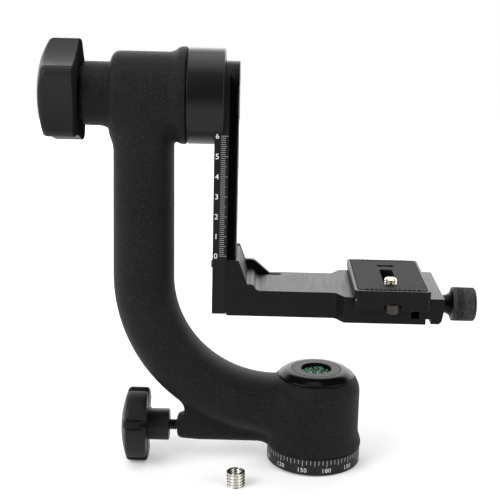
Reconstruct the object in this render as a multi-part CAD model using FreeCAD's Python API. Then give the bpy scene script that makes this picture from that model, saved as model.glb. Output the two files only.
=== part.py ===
import FreeCAD, Part
import math
import os
from FreeCAD import Vector

# Gimbal tripod head: a base disc, a C-shaped cast arm that pans on it, and a drum on the arm's
# upper end that tilts a rail, an L-shaped cradle and a quick-release clamp for the camera.
# Millimetres. Origin: bottom face of the base disc on the pan axis. +Z up, +X towards the clamp,
# +Y away from the side that carries the height scale.

X_AXIS = Vector(1, 0, 0)
Y_AXIS = Vector(0, 1, 0)
Z_AXIS = Vector(0, 0, 1)

# ---------------------------------------------------------------- fits
RUN = 0.05            # radial clearance of a shaft that turns in its bore
SLIP = 0.1            # clearance between faces that slide on each other
SEAT = 0.02           # clearance of a piece that is pressed or glued into its seat
TOUCH = 0.05          # gap between flat faces of pieces that turn against each other

# ---------------------------------------------------------------- base disc and pan spindle
BASE_RADIUS = 24.5
BASE_HEIGHT = 8.6
BASE_EDGE = 0.25
BASE_GRIP_INNER = 19.5      # shallow ring groove in the underside
BASE_GRIP_OUTER = 22.5
BASE_GRIP_DEPTH = 0.6
SOCKET_RADIUS = 4.7625      # 3/8 inch tripod thread, drawn smooth at its nominal size
SOCKET_DEPTH = 12.0
SPINDLE_FOOT_RADIUS = 8.5
SPINDLE_FLANGE_RADIUS = 18.5
SPINDLE_FLANGE_THICKNESS = 3.0
SPINDLE_COLLAR_RADIUS = 10.5
BASE_SCREW_COUNT = 3
BASE_SCREW_CIRCLE = 13.5
BASE_SCREW_RADIUS = 1.5
BASE_SCREW_HEAD_RADIUS = 2.8
BASE_SCREW_HEAD_HEIGHT = 2.2
BASE_SCREW_SINK = 0.4       # depth of the heads below the underside
GLIDE_THICKNESS = 0.3       # nylon ring between the base disc and the arm

# ---------------------------------------------------------------- ball bearings and their shafts
BEARING_BORE = 6.0
BEARING_RADIUS = 14.0
BEARING_WIDTH = 8.0
BEARING_RACE = 2.2
BEARING_SHIELD_SINK = 0.4
BEARING_CHAMFER = 0.5
SPACER_WALL = 2.0
PAN_BEARING_GAP = 3.0
PAN_BEARING_HEIGHT = 22.0   # lower face of the lower bearing
PAN_WASHER_THICKNESS = 0.9
PAN_WASHER_RADIUS = 10.5
PAN_NUT_HEIGHT = 2.6
PAN_NUT_RADIUS = 9.2        # across corners, halved
PAN_THREAD_RADIUS = 5.0
PAN_THREAD_TIP = 0.4        # thread that stands above the nut

# ---------------------------------------------------------------- arm casting
TILT_HEIGHT = 191.0         # tilt axis above the base's bottom face
HUB_RADIUS = 23.2
HUB_TOP = 46.05
HUB_CROWN_RADIUS = 20.4     # flat ring on top that the level cap sits on
HUB_CROWN_DROP = 3.5        # height over which the crown falls to the hub's side
HUB_ROUNDING = 12.0
SKIRT_RADIUS = 24.95
SKIRT_EDGE = 1.5            # upright edge of the skirt
SKIRT_HEIGHT = 7.1
TUBE_HALF_WIDTH = 14.8      # arm section at the hub, in the plane of its bend
BEND_HALF_WIDTH = 15.55     # the same where the bend meets the column
COLUMN_HALF_WIDTH = 15.05   # the same at the head
TUBE_HALF_DEPTH = 19.5      # arm section, along Y
TUBE_TOP = 45.2             # crest of the arm where it meets the hub
BEND_START = 21.8           # distance of the bend's centre from the pan axis
BEND_RADIUS = 68.5
BEND_SECTIONS = 7           # sections that carry the taper round the bend
HEAD_RADIUS = 21.2
HEAD_LEFT = 15.8            # head's left shoulder, from the column's middle
HEAD_RIGHT = 14.2
HEAD_ROUNDING = 4.0
FLANGE_RADIUS = 24.0
FLANGE_CONE = 4.0
FLANGE_THICKNESS = 3.5
STEM_RADIUS = 15.75
STEM_LENGTH = 14.0

# ---------------------------------------------------------------- level on the hub
CAP_RADIUS = 19.7
CAP_HEIGHT = 3.85
CAP_RIM = 1.0
CAP_SPIGOT_RADIUS = 17.6
CAP_SPIGOT_DEPTH = 3.2
CAP_SPIGOT_WALL = 2.6
CAP_FLOOR = 0.8
DISC_RADIUS = 12.9
DISC_THICKNESS = 1.5
VIAL_RADIUS = 7.8
VIAL_HEIGHT = 2.4
VIAL_SINK = 1.2             # vial's top below the dial disc's face
VIAL_WALL = 0.55
BUBBLE_RADIUS = 2.4
BUBBLE_OFFSET = 1.6

# ---------------------------------------------------------------- pan lock
LOCK_HEIGHT = 16.25
BOSS_RADIUS = 7.6
BOSS_END_RADIUS = 6.9       # at the outer end, where the boss tapers
BOSS_TAPER = 11.0
BOSS_WEB_HALF = 6.4
BOSS_END = 72.9             # distance of the boss's end from the pan axis
BOSS_ROUNDING = 3.3
BOSS_SKIRT_GAP = 0.4        # step that keeps the boss clear of the base disc
LOCK_BUSH_RADIUS = 5.0
LOCK_BUSH_LENGTH = 12.0
LOCK_SCREW_RADIUS = 3.0
LOCK_KNOB_GAP = 3.8         # thread that shows between the boss and the knob
LOCK_KNOB_HUB_RADIUS = 8.35
LOCK_KNOB_HUB_LENGTH = 11.1
LOCK_KNOB_RADIUS = 19.4
LOCK_KNOB_THICKNESS = 14.2
LOCK_KNOB_DOME_RADIUS = 52.0
LOCK_KNOB_SCALLOP = 2.6
LOCK_KNOB_SCALLOP_OFFSET = 18.4
LOCK_KNOB_EDGE = 1.0        # rounding between a scallop and the rim
LOCK_KNOB_DISH = 4.0        # depth of the ring-shaped hollow in the knob's back
LOCK_KNOB_RIM_WALL = 2.2    # lobes' wall outside that hollow
LOCK_KNOB_TURN = 19.9       # angle of one scallop above -Y, in degrees
BRAKE_RADIUS = 4.5
BRAKE_LENGTH = 16.4
BRAKE_TRAVEL = 3.0

# ---------------------------------------------------------------- tilt drum, spindle and lock
DRUM_RADIUS = 23.75
DRUM_LENGTH = 18.0
DRUM_BOSS_RADIUS = 11.5
CIRCLIP_THICKNESS = 1.2
CIRCLIP_WIDTH = 1.7
BEARING_SETBACK = 5.0       # right tilt bearing's face behind the head's flange face
TILT_BEARING_GAP = 14.0
FRICTION_RING_THICKNESS = 0.3
SPINDLE_HEAD_RADIUS = 8.6
SPINDLE_HEAD_THICKNESS = 4.0
TILT_THREAD_RADIUS = 4.0
TILT_THREAD_LENGTH = 15.0
THRUST_THICKNESS = 1.3
THRUST_RADIUS = 13.0
TILT_KNOB_RADIUS = 26.8
TILT_KNOB_CORNER = 6.5
TILT_KNOB_HOLLOW = 1.4
TILT_KNOB_HOLLOW_RADIUS = 60.0
TILT_KNOB_THICKNESS = 20.7
TILT_KNOB_TURN = 9.8        # angle of the top corner from +Z towards +Y, in degrees
KNOB_INSERT_RADIUS = 7.0
KNOB_INSERT_LENGTH = 14.0
TILT_KNOB_DOME_RADIUS = 70.0
DOME_SLOPE = 20.0           # slope of a domed face at its rim, in degrees

# ---------------------------------------------------------------- height rail
RAIL_BOTTOM = 84.0
RAIL_HALF_WIDTH = 17.5
RAIL_PLATE_THICKNESS = 7.0
RAIL_SINK = 4.4             # depth of the rail's seat in the drum
RAIL_NECK_HALF = 12.6
RAIL_LIP_HALF = 15.9
RAIL_LIP_END = 4.5          # outer face of the lip, from the plate's face
RAIL_SCREW_SPACING = 18.4
RAIL_SCREW_RADIUS = 2.0
RAIL_SCREW_HEAD_RADIUS = 3.5
RAIL_SCREW_HEAD_HEIGHT = 3.6
RAIL_SCREW_REACH = 8.0
STOP_HEIGHT = 105.3
STOP_RADIUS = 1.5
STOP_HEAD_RADIUS = 2.2
STOP_HEAD_HEIGHT = 1.3
STOP_TIP = 0.9

# ---------------------------------------------------------------- cradle bracket
CRADLE_HALF_DEPTH = 18.0
CRADLE_BOTTOM = 83.4
CRADLE_TOP = 96.7
LEG_TOP = 112.0
LEG_TOP_THICKNESS = 6.0
LEG_FOOT_THICKNESS = 10.5
LEG_FOOT_HEIGHT = 3.2       # end of the leg's slope above the arm's top
ARM_START = 15.1            # where the arm's flat top starts, from the rail's plate
PLATFORM_START = 58.9       # clamp body, from the rail's plate
PLATFORM_SHOULDER = 4.3
PLATFORM_HALF_DEPTH = 25.0
CHEEK_THICKNESS = 3.0
SLIT_WIDTH = 3.0
SLIT_LENGTH = 28.1          # from the rail's plate
CHEEK_CREST = 104.0
CHEEK_CREST_START = 8.4
CHEEK_CREST_END = 13.5
CHEEK_END = 22.0

# ---------------------------------------------------------------- height lock
HEIGHT_LOCK_OFFSET = 9.5   # screw axis, from the rail's plate
HEIGHT_LOCK_Z = 91.5
HEIGHT_SCREW_RADIUS = 2.5
HEIGHT_SCREW_REACH = 20.0
HEIGHT_WASHER_RADIUS = 6.2
HEIGHT_WASHER_THICKNESS = 0.9
HEIGHT_KNOB_RADIUS = 7.5
HEIGHT_KNOB_LENGTH = 9.5

# ---------------------------------------------------------------- quick-release clamp
PLATE_CENTRE = 23.2         # plate's middle, from the clamp body's start
PLATE_HALF_WIDTH = 18.75
PLATE_HALF_LENGTH = 30.0
PLATE_BOTTOM = 91.8
PLATE_TOP = 101.0
PLATE_SLAB_BOTTOM = 98.2
PLATE_NECK_Z = 96.9
PLATE_NECK_HALF = 17.4
PLATE_FLARE_Z = 95.5
PLATE_FOOT_Z = 92.9
PLATE_FOOT_CHAMFER = 1.05
CHANNEL_STEP = 9.9          # step in the channel's floor, from the plate's middle
CHANNEL_STEP_Z = 86.1
BODY_END = 17.4             # clamp body's end, from the plate's middle
JAW_TONGUE_START = 13.9
JAW_TONGUE_DROP = 0.6       # tongue below the plate
JAW_LEG_START = 19.8
JAW_END = 26.25
JAW_WAIST_Z = 90.2
JAW_FOOT_Z = 85.3
JAW_BOTTOM = 83.8
GUIDE_PIN_RADIUS = 2.0
GUIDE_PIN_SPACING = 34.0
GUIDE_PIN_Z = 88.7
GUIDE_PIN_REACH = 12.0
CLAMP_SCREW_Z = 87.0
CLAMP_SCREW_RADIUS = 2.5
CLAMP_SCREW_REACH = 36.0
CLAMP_WASHER_RADIUS = 5.0
CLAMP_WASHER_THICKNESS = 0.8
CLAMP_KNOB_RADIUS = 8.7
CLAMP_KNOB_LENGTH = 12.2
KNOB_NECK_RADIUS = 4.6
KNOB_NECK_LENGTH = 6.4
KNOB_FLARE = 4.4
KNOB_FLARE_ROUNDING = 4.5

# ---------------------------------------------------------------- camera plate
PAD_MARGIN = 1.8
PAD_THICKNESS = 0.8
PAD_NOTCH = 0.45
PAD_NOTCH_PITCH = 2.3
SLOT_HALF_WIDTH = 3.4
SLOT_NEAR = -18.7
SLOT_FAR = 9.5
SLOT_POCKET_HALF = 6.2
SLOT_POCKET_MARGIN = 3.4
SLOT_POCKET_TOP = 96.5
CAMERA_SCREW_Y = -15.3
CAMERA_SCREW_RADIUS = 3.175     # 1/4 inch camera thread
CAMERA_SCREW_STUD = 2.5        # height above the pad
CAMERA_SCREW_HEAD_RADIUS = 5.5
CAMERA_SCREW_HEAD_HEIGHT = 2.9
CAMERA_SCREW_NECK = 2.4         # undercut neck that keeps the screw captive
CAMERA_WASHER_THICKNESS = 1.0
PLATE_STOP_Y = -28.4
PLATE_STOP_HEAD_RADIUS = 3.25
PLATE_STOP_HEAD_BOTTOM = 90.2
PLATE_STOP_RADIUS = 1.5
PLATE_STOP_REACH = 3.0
PLATE_NOTCH_HALF = 4.3
PLATE_NOTCH_TOP = 94.7

# ---------------------------------------------------------------- loose thread adapter
ADAPTER_X = -40.4
ADAPTER_Y = -34.0
ADAPTER_BOTTOM = -1.55
ADAPTER_HEIGHT = 9.2
ADAPTER_BORE = 3.175
ADAPTER_CHAMFER = 0.7

# ---------------------------------------------------------------- places worked out from the sizes
ARM_BOTTOM = BASE_HEIGHT + GLIDE_THICKNESS + TOUCH
TUBE_HEIGHT = TUBE_TOP - TUBE_HALF_WIDTH
BEND_HEIGHT = TUBE_HEIGHT + BEND_RADIUS
COLUMN_X = -(BEND_START + BEND_RADIUS)
STEM_X = COLUMN_X - HEAD_LEFT - STEM_LENGTH
FLANGE_X = COLUMN_X + HEAD_RIGHT + FLANGE_CONE + FLANGE_THICKNESS
DRUM_X = FLANGE_X + FRICTION_RING_THICKNESS + 2 * TOUCH
DRUM_END_X = DRUM_X + DRUM_LENGTH
RAIL_X = DRUM_END_X - RAIL_SINK
RAIL_FACE_X = RAIL_X + RAIL_PLATE_THICKNESS
RAIL_END_X = RAIL_FACE_X + RAIL_LIP_END
RAIL_LIP_X = RAIL_FACE_X + RAIL_LIP_HALF - RAIL_NECK_HALF
PLATFORM_X = RAIL_FACE_X + PLATFORM_START
PLATE_X = PLATFORM_X + PLATE_CENTRE
BODY_END_X = PLATE_X + BODY_END
JAW_END_X = PLATE_X + JAW_END
RIGHT_BEARING_X = FLANGE_X - BEARING_SETBACK - BEARING_WIDTH
LEFT_BEARING_X = RIGHT_BEARING_X - TILT_BEARING_GAP - BEARING_WIDTH
KNOB_X = STEM_X - THRUST_THICKNESS - 2 * TOUCH
UPPER_PAN_BEARING = PAN_BEARING_HEIGHT + BEARING_WIDTH + PAN_BEARING_GAP
PAN_WASHER_Z = UPPER_PAN_BEARING + BEARING_WIDTH + TOUCH
PAN_NUT_Z = PAN_WASHER_Z + PAN_WASHER_THICKNESS
PAN_THREAD_TOP = PAN_NUT_Z + PAN_NUT_HEIGHT + PAN_THREAD_TIP
CAP_TOP = HUB_TOP + CAP_HEIGHT
DISC_Z = CAP_TOP - DISC_THICKNESS
VIAL_Z = CAP_TOP - VIAL_HEIGHT - VIAL_SINK
LOCK_KNOB_X = -(BOSS_END + LOCK_KNOB_GAP)
LOCK_KNOB_HEAD_X = LOCK_KNOB_X - LOCK_KNOB_HUB_LENGTH
BRAKE_X = -(SPINDLE_COLLAR_RADIUS + BRAKE_LENGTH)
HEIGHT_LOCK_X = RAIL_FACE_X + HEIGHT_LOCK_OFFSET
PAD_TOP = PLATE_TOP + PAD_THICKNESS
TILT_CENTRE = Vector(0, 0, TILT_HEIGHT)
LOCK_CENTRE = Vector(0, 0, LOCK_HEIGHT)


# ---------------------------------------------------------------- building blocks
def corner_arc(before, corner, after, radius):
    """Start, middle and end of the tangent arc that rounds one corner of an outline."""
    to_before = (before - corner).normalize()
    to_after = (after - corner).normalize()
    half_angle = to_before.getAngle(to_after) / 2
    reach = radius / math.tan(half_angle)
    inwards = (to_before + to_after).normalize()
    centre = corner + inwards * (radius / math.sin(half_angle))
    return corner + to_before * reach, centre - inwards * radius, corner + to_after * reach


def outline(points, place):
    """Closed wire through points (u, v) or (u, v, corner radius), put in space by place(u, v)."""
    corners = [place(point[0], point[1]) for point in points]
    radii = [point[2] if len(point) > 2 else 0 for point in points]
    count = len(points)
    joints = []
    for i, corner in enumerate(corners):
        if radii[i]:
            joints.append(corner_arc(corners[i - 1], corner, corners[(i + 1) % count], radii[i]))
        else:
            joints.append((corner, corner, corner))
    edges = []
    for i, (start, middle, end) in enumerate(joints):
        if radii[i]:
            edges.append(Part.Arc(start, middle, end).toShape())
        following = joints[(i + 1) % count][0]
        if end.distanceToPoint(following) > 1e-6:
            edges.append(Part.makeLine(end, following))
    return Part.Wire(edges)


def prism(points, place, along):
    """Solid with the given outline, as long as the vector along."""
    return Part.Face(outline(points, place)).extrude(along)


def turned(points, origin, axis):
    """Solid of revolution: points are (distance along the axis, radius, corner radius)."""
    across = Z_AXIS if abs(axis.z) < 0.5 else X_AXIS
    wire = outline(points, lambda u, v: origin + axis * u + across * v)
    return Part.Face(wire).revolve(origin, axis, 360)


def rod(radius, start, end, origin, axis):
    """Cylinder between two distances along an axis."""
    return Part.makeCylinder(radius, end - start, origin + axis * start, axis)


def tube(outer, inner, start, end, origin, axis):
    """Ring or sleeve between two distances along an axis."""
    body = rod(outer, start, end, origin, axis)
    return body.cut(rod(inner, start - 1, end + 1, origin, axis))


def box(low, high):
    """Block between two corners."""
    size = [high[i] - low[i] for i in range(3)]
    return Part.makeBox(size[0], size[1], size[2], Vector(*low))


def side_view(y):
    """Placing of an outline drawn in X and Z, at one Y."""
    return lambda x, z: Vector(x, y, z)


def plan_view(z):
    """Placing of an outline drawn in X and Y, at one Z."""
    return lambda x, y: Vector(x, y, z)


def end_view(x):
    """Placing of an outline drawn in Y and Z, at one X."""
    return lambda y, z: Vector(x, y, z)


def joined(shapes):
    """Separate solids of one kind, kept as one group."""
    return Part.makeCompound(shapes)


def grown_together(shapes):
    """One solid from several that overlap."""
    return shapes[0].multiFuse(shapes[1:]).removeSplitter()


def around(count, radius, turn=0.0):
    """Places on a circle in the XY plane, first at the given angle in degrees."""
    angles = [math.radians(turn + 360 * i / count) for i in range(count)]
    return [Vector(radius * math.cos(a), radius * math.sin(a), 0) for a in angles]


# ---------------------------------------------------------------- base
def base_plate():
    """Graduated disc with a recess for the spindle's flange and a grip groove underneath."""
    seat = SPINDLE_FLANGE_RADIUS + SEAT
    floor = BASE_HEIGHT - SPINDLE_FLANGE_THICKNESS
    foot = SPINDLE_FOOT_RADIUS + SEAT
    disc = turned([(0, foot), (0, BASE_RADIUS - BASE_EDGE), (BASE_EDGE, BASE_RADIUS),
                   (BASE_HEIGHT - BASE_EDGE / 2, BASE_RADIUS),
                   (BASE_HEIGHT, BASE_RADIUS - BASE_EDGE / 2),
                   (BASE_HEIGHT, seat), (floor, seat), (floor, foot)], Vector(), Z_AXIS)
    disc = disc.cut(tube(BASE_GRIP_OUTER, BASE_GRIP_INNER, -1, BASE_GRIP_DEPTH, Vector(), Z_AXIS))
    sink = BASE_SCREW_SINK + BASE_SCREW_HEAD_HEIGHT
    for place in around(BASE_SCREW_COUNT, BASE_SCREW_CIRCLE, 90):
        disc = disc.cut(rod(BASE_SCREW_HEAD_RADIUS + 0.2, -1, sink, place, Z_AXIS))
        disc = disc.cut(rod(BASE_SCREW_RADIUS + 0.2, 0, floor + 1, place, Z_AXIS))
    return disc


def base_screws():
    """Screws that hold the spindle's flange, heads sunk in the underside."""
    shoulder = BASE_SCREW_SINK + BASE_SCREW_HEAD_HEIGHT
    tip = BASE_HEIGHT - 0.6
    hex_socket = 1.3
    screws = []
    for place in around(BASE_SCREW_COUNT, BASE_SCREW_CIRCLE, 90):
        screw = turned([(BASE_SCREW_SINK, 0), (BASE_SCREW_SINK, BASE_SCREW_HEAD_RADIUS, 0.4),
                        (shoulder, BASE_SCREW_HEAD_RADIUS), (shoulder, BASE_SCREW_RADIUS),
                        (tip, BASE_SCREW_RADIUS), (tip, 0)], place, Z_AXIS)
        screws.append(screw.cut(rod(hex_socket, 0, BASE_SCREW_SINK + 1.2, place, Z_AXIS)))
    return joined(screws)


def pan_spindle():
    """Steel spindle: flanged foot with the tripod socket, brake collar, shaft and thread."""
    floor = BASE_HEIGHT - SPINDLE_FLANGE_THICKNESS
    collar_top = PAN_BEARING_HEIGHT - TOUCH
    body = turned([(0, 0), (0, SPINDLE_FOOT_RADIUS), (floor, SPINDLE_FOOT_RADIUS),
                   (floor, SPINDLE_FLANGE_RADIUS), (BASE_HEIGHT, SPINDLE_FLANGE_RADIUS),
                   (BASE_HEIGHT, SPINDLE_COLLAR_RADIUS), (collar_top, SPINDLE_COLLAR_RADIUS),
                   (collar_top, BEARING_BORE), (PAN_WASHER_Z, BEARING_BORE),
                   (PAN_WASHER_Z, PAN_THREAD_RADIUS), (PAN_THREAD_TOP, PAN_THREAD_RADIUS, 0.6),
                   (PAN_THREAD_TOP, 0)], Vector(), Z_AXIS)
    body = body.cut(rod(SOCKET_RADIUS, -1, SOCKET_DEPTH, Vector(), Z_AXIS))
    for place in around(BASE_SCREW_COUNT, BASE_SCREW_CIRCLE, 90):
        body = body.cut(rod(BASE_SCREW_RADIUS + SEAT, 0, BASE_HEIGHT - 0.5, place, Z_AXIS))
    return body


def pan_washer():
    """Washer under the nut that holds the arm down on the spindle."""
    return tube(PAN_WASHER_RADIUS, PAN_THREAD_RADIUS + SEAT, PAN_WASHER_Z + TOUCH, PAN_NUT_Z,
                Vector(), Z_AXIS)


def pan_nut():
    """Thin hexagon nut on top of the spindle."""
    corners = [(p.x, p.y) for p in around(6, PAN_NUT_RADIUS)]
    nut = prism(corners, plan_view(PAN_NUT_Z), Z_AXIS * PAN_NUT_HEIGHT)
    hole = rod(PAN_THREAD_RADIUS + SEAT, PAN_NUT_Z - 1, PAN_NUT_Z + PAN_NUT_HEIGHT + 1,
               Vector(), Z_AXIS)
    return nut.cut(hole)


def pan_glide_ring():
    """Nylon ring that the arm glides on."""
    return tube(SPINDLE_FLANGE_RADIUS + 4, SPINDLE_COLLAR_RADIUS + 1.2, BASE_HEIGHT + TOUCH,
                ARM_BOTTOM, Vector(), Z_AXIS)


# ---------------------------------------------------------------- bearings
def bearing(start, origin, axis):
    """Sealed ball bearing: two races with a sunk shield between them."""
    bore = BEARING_BORE + RUN
    end = start + BEARING_WIDTH
    body = turned([(start, bore, 0), (start, BEARING_RADIUS, BEARING_CHAMFER),
                   (end, BEARING_RADIUS, BEARING_CHAMFER), (end, bore)], origin, axis)
    outer = BEARING_RADIUS - BEARING_RACE
    inner = bore + BEARING_RACE
    sink = BEARING_SHIELD_SINK
    body = body.cut(tube(outer, inner, start - 1, start + sink, origin, axis))
    return body.cut(tube(outer, inner, end - sink, end + 1, origin, axis))


def bearing_spacer(start, end, origin, axis):
    """Sleeve between the outer races of two bearings."""
    return tube(BEARING_RADIUS, BEARING_RADIUS - SPACER_WALL, start, end, origin, axis)


# ---------------------------------------------------------------- arm casting
def tube_section(centre, along, half_width):
    """Oval section of the arm, standing across the direction that the arm runs in."""
    oval = Part.Ellipse(centre, TUBE_HALF_DEPTH, half_width)
    oval.Axis = along
    oval.XAxis = Y_AXIS
    return Part.Wire(oval.toShape())


def bend_section(share):
    """Section of the bend, from the hub's end (0) to the column's end (1)."""
    angle = math.radians(90 * share)
    out = Vector(-math.sin(angle), 0, -math.cos(angle))
    along = Vector(-math.cos(angle), 0, math.sin(angle))
    half_width = TUBE_HALF_WIDTH + (BEND_HALF_WIDTH - TUBE_HALF_WIDTH) * share
    centre = Vector(-BEND_START, 0, BEND_HEIGHT) + out * BEND_RADIUS
    return tube_section(centre, along, half_width)


def swept_arm():
    """Oval tube: level at the hub, a quarter bend that widens, and a column that narrows."""
    hub_end = bend_section(0)
    level = Part.Face(hub_end).extrude(X_AXIS * BEND_START)
    steps = BEND_SECTIONS - 1
    bend = Part.makeLoft([bend_section(i / steps) for i in range(BEND_SECTIONS)], True)
    top = tube_section(Vector(COLUMN_X, 0, TILT_HEIGHT), Z_AXIS, COLUMN_HALF_WIDTH)
    column = Part.makeLoft([bend_section(1), top], True, True)
    return [level, bend, column]


def tilt_housing():
    """Round housing of the tilt bearings: stem, shouldered head and flared flange."""
    head_x = COLUMN_X - HEAD_LEFT
    cone_x = COLUMN_X + HEAD_RIGHT
    flange_x = FLANGE_X - FLANGE_THICKNESS
    return turned([(STEM_X, 0), (STEM_X, STEM_RADIUS, 0.8), (head_x, STEM_RADIUS, 1.2),
                   (head_x, HEAD_RADIUS, HEAD_ROUNDING), (cone_x, HEAD_RADIUS, 5.0),
                   (flange_x, FLANGE_RADIUS, 4.0), (FLANGE_X, FLANGE_RADIUS, 0.5),
                   (FLANGE_X, 0)], TILT_CENTRE, X_AXIS)


def arm_hub():
    """Round hub over the base disc, with a flared skirt."""
    return turned([(ARM_BOTTOM, 0), (ARM_BOTTOM, SKIRT_RADIUS, 0.4),
                   (ARM_BOTTOM + SKIRT_EDGE, SKIRT_RADIUS, 1.5),
                   (ARM_BOTTOM + SKIRT_HEIGHT, HUB_RADIUS, 12.0),
                   (HUB_TOP - HUB_CROWN_DROP, HUB_RADIUS, HUB_ROUNDING),
                   (HUB_TOP, HUB_CROWN_RADIUS), (HUB_TOP, 0)], Vector(), Z_AXIS)


def lock_boss():
    """Round boss of the pan lock under the arm, and the web that ties it to the bend."""
    boss = turned([(-BOSS_END, 0), (-BOSS_END, BOSS_END_RADIUS, BOSS_ROUNDING),
                   (-BOSS_END + BOSS_TAPER, BOSS_RADIUS, 20.0),
                   (-SPINDLE_COLLAR_RADIUS, BOSS_RADIUS), (-SPINDLE_COLLAR_RADIUS, 0)],
                  LOCK_CENTRE, X_AXIS)
    web = box((-BOSS_END + BOSS_ROUNDING + 1, -BOSS_WEB_HALF, LOCK_HEIGHT),
              (-SPINDLE_COLLAR_RADIUS, BOSS_WEB_HALF, TUBE_HEIGHT))
    return [boss, web]


def arm_casting():
    """C-shaped arm in one casting, bored for both pairs of bearings and the pan lock."""
    body = grown_together(swept_arm() + [tilt_housing(), arm_hub()] + lock_boss())
    body = body.cut(rod(SKIRT_RADIUS + BOSS_SKIRT_GAP, 0, ARM_BOTTOM, Vector(), Z_AXIS))
    for room in tilt_rooms() + pan_rooms() + lock_rooms():
        body = body.cut(room)
    return body


def pan_rooms():
    """Room for the spindle's collar, the pan bearings and the cap's spigot."""
    return [
        rod(SPINDLE_COLLAR_RADIUS + 0.3, ARM_BOTTOM - 1, HUB_TOP, Vector(), Z_AXIS),
        rod(BEARING_RADIUS + SEAT, PAN_BEARING_HEIGHT, HUB_TOP, Vector(), Z_AXIS),
        rod(CAP_SPIGOT_RADIUS + SEAT, HUB_TOP - CAP_SPIGOT_DEPTH, HUB_TOP + 1, Vector(), Z_AXIS),
    ]


def tilt_rooms():
    """Room for the tilt bearings and the tilt spindle."""
    return [
        rod(BEARING_RADIUS + SEAT, LEFT_BEARING_X, FLANGE_X + 1, TILT_CENTRE, X_AXIS),
        rod(BEARING_BORE + 0.3, STEM_X - 1, FLANGE_X, TILT_CENTRE, X_AXIS),
    ]


def lock_rooms():
    """Room for the lock's bush, its screw and the brake shoe."""
    bush = -BOSS_END + LOCK_BUSH_LENGTH
    return [
        rod(LOCK_BUSH_RADIUS + SEAT, -BOSS_END - 1, bush, LOCK_CENTRE, X_AXIS),
        rod(LOCK_SCREW_RADIUS + 0.4, -BOSS_END, 0, LOCK_CENTRE, X_AXIS),
        rod(BRAKE_RADIUS + RUN, BRAKE_X - BRAKE_TRAVEL, 0, LOCK_CENTRE, X_AXIS),
    ]


# ---------------------------------------------------------------- level
def level_cap():
    """Domed cap with a spigot in the hub, a seat for the dial disc and a well for the vial."""
    well = VIAL_RADIUS + SEAT
    floor = VIAL_Z - CAP_FLOOR
    seat = DISC_RADIUS + SEAT
    inner = CAP_SPIGOT_RADIUS - CAP_SPIGOT_WALL
    return turned([(floor, 0), (floor, inner), (HUB_TOP - CAP_SPIGOT_DEPTH, inner),
                   (HUB_TOP - CAP_SPIGOT_DEPTH, CAP_SPIGOT_RADIUS), (HUB_TOP, CAP_SPIGOT_RADIUS),
                   (HUB_TOP, CAP_RADIUS, 0.3), (HUB_TOP + CAP_RIM, CAP_RADIUS, 1.2),
                   (CAP_TOP - 0.35, (CAP_RADIUS + seat) / 2, 6.0), (CAP_TOP, seat + 0.3, 0.2),
                   (CAP_TOP, seat), (DISC_Z, seat), (DISC_Z, well), (VIAL_Z, well), (VIAL_Z, 0)],
                  Vector(), Z_AXIS)


def level_disc():
    """Flat dial disc round the vial's window."""
    edge = 0.4
    return turned([(DISC_Z, VIAL_RADIUS + SEAT), (DISC_Z, DISC_RADIUS), (CAP_TOP, DISC_RADIUS),
                   (CAP_TOP, VIAL_RADIUS + SEAT + edge), (CAP_TOP - edge, VIAL_RADIUS + SEAT)],
                  Vector(), Z_AXIS)


def level_vial():
    """Closed clear vial with room for the liquid."""
    top = VIAL_Z + VIAL_HEIGHT
    shell = turned([(VIAL_Z, 0), (VIAL_Z, VIAL_RADIUS), (top, VIAL_RADIUS, 0.4), (top, 0)],
                   Vector(), Z_AXIS)
    return shell.cut(rod(VIAL_RADIUS - VIAL_WALL, VIAL_Z + VIAL_WALL, top - VIAL_WALL,
                         Vector(), Z_AXIS))


def bubble_shape(grow):
    """Flat round bubble under the vial's roof."""
    roof = VIAL_Z + VIAL_HEIGHT - VIAL_WALL
    radius = BUBBLE_RADIUS + grow
    place = Vector(-BUBBLE_OFFSET, BUBBLE_OFFSET / 2, 0)
    depth = 0.9 + grow
    return turned([(roof - depth, 0), (roof - depth, radius, 0.6), (roof - SEAT, radius),
                   (roof - SEAT, 0)], place, Z_AXIS)


def level_liquid():
    """Green liquid in the vial, less the bubble."""
    body = rod(VIAL_RADIUS - VIAL_WALL - SEAT, VIAL_Z + VIAL_WALL + SEAT,
               VIAL_Z + VIAL_HEIGHT - VIAL_WALL - SEAT, Vector(), Z_AXIS)
    return body.cut(bubble_shape(SEAT))


# ---------------------------------------------------------------- pan lock
def pan_lock_bush():
    """Threaded brass bush in the end of the boss."""
    return tube(LOCK_BUSH_RADIUS, LOCK_SCREW_RADIUS + RUN, -BOSS_END + 0.4,
                -BOSS_END + LOCK_BUSH_LENGTH, LOCK_CENTRE, X_AXIS)


def pan_brake_shoe():
    """Plug that the lock screw presses on the spindle's collar, hollowed to fit it."""
    body = turned([(BRAKE_X, 0), (BRAKE_X, BRAKE_RADIUS, 0.5), (0, BRAKE_RADIUS), (0, 0)],
                  LOCK_CENTRE, X_AXIS)
    return body.cut(rod(SPINDLE_COLLAR_RADIUS + RUN, 0, 2 * LOCK_HEIGHT, Vector(), Z_AXIS))


def pan_lock_screw():
    """Threaded stud moulded into the knob."""
    start = LOCK_KNOB_HEAD_X + 2.0
    return turned([(start, 0), (start, LOCK_SCREW_RADIUS), (BRAKE_X - TOUCH, LOCK_SCREW_RADIUS, 0.5),
                   (BRAKE_X - TOUCH, 0)], LOCK_CENTRE, X_AXIS)


def dome_corner(face_x, radius, dome_radius, slope):
    """Corner points of a domed face that ends at a radius with a slope in degrees."""
    tangent = dome_radius * math.tan(math.radians(slope) / 2)
    rim_x = face_x + (radius - tangent) * math.tan(math.radians(slope))
    return (face_x, tangent, dome_radius), rim_x


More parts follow.
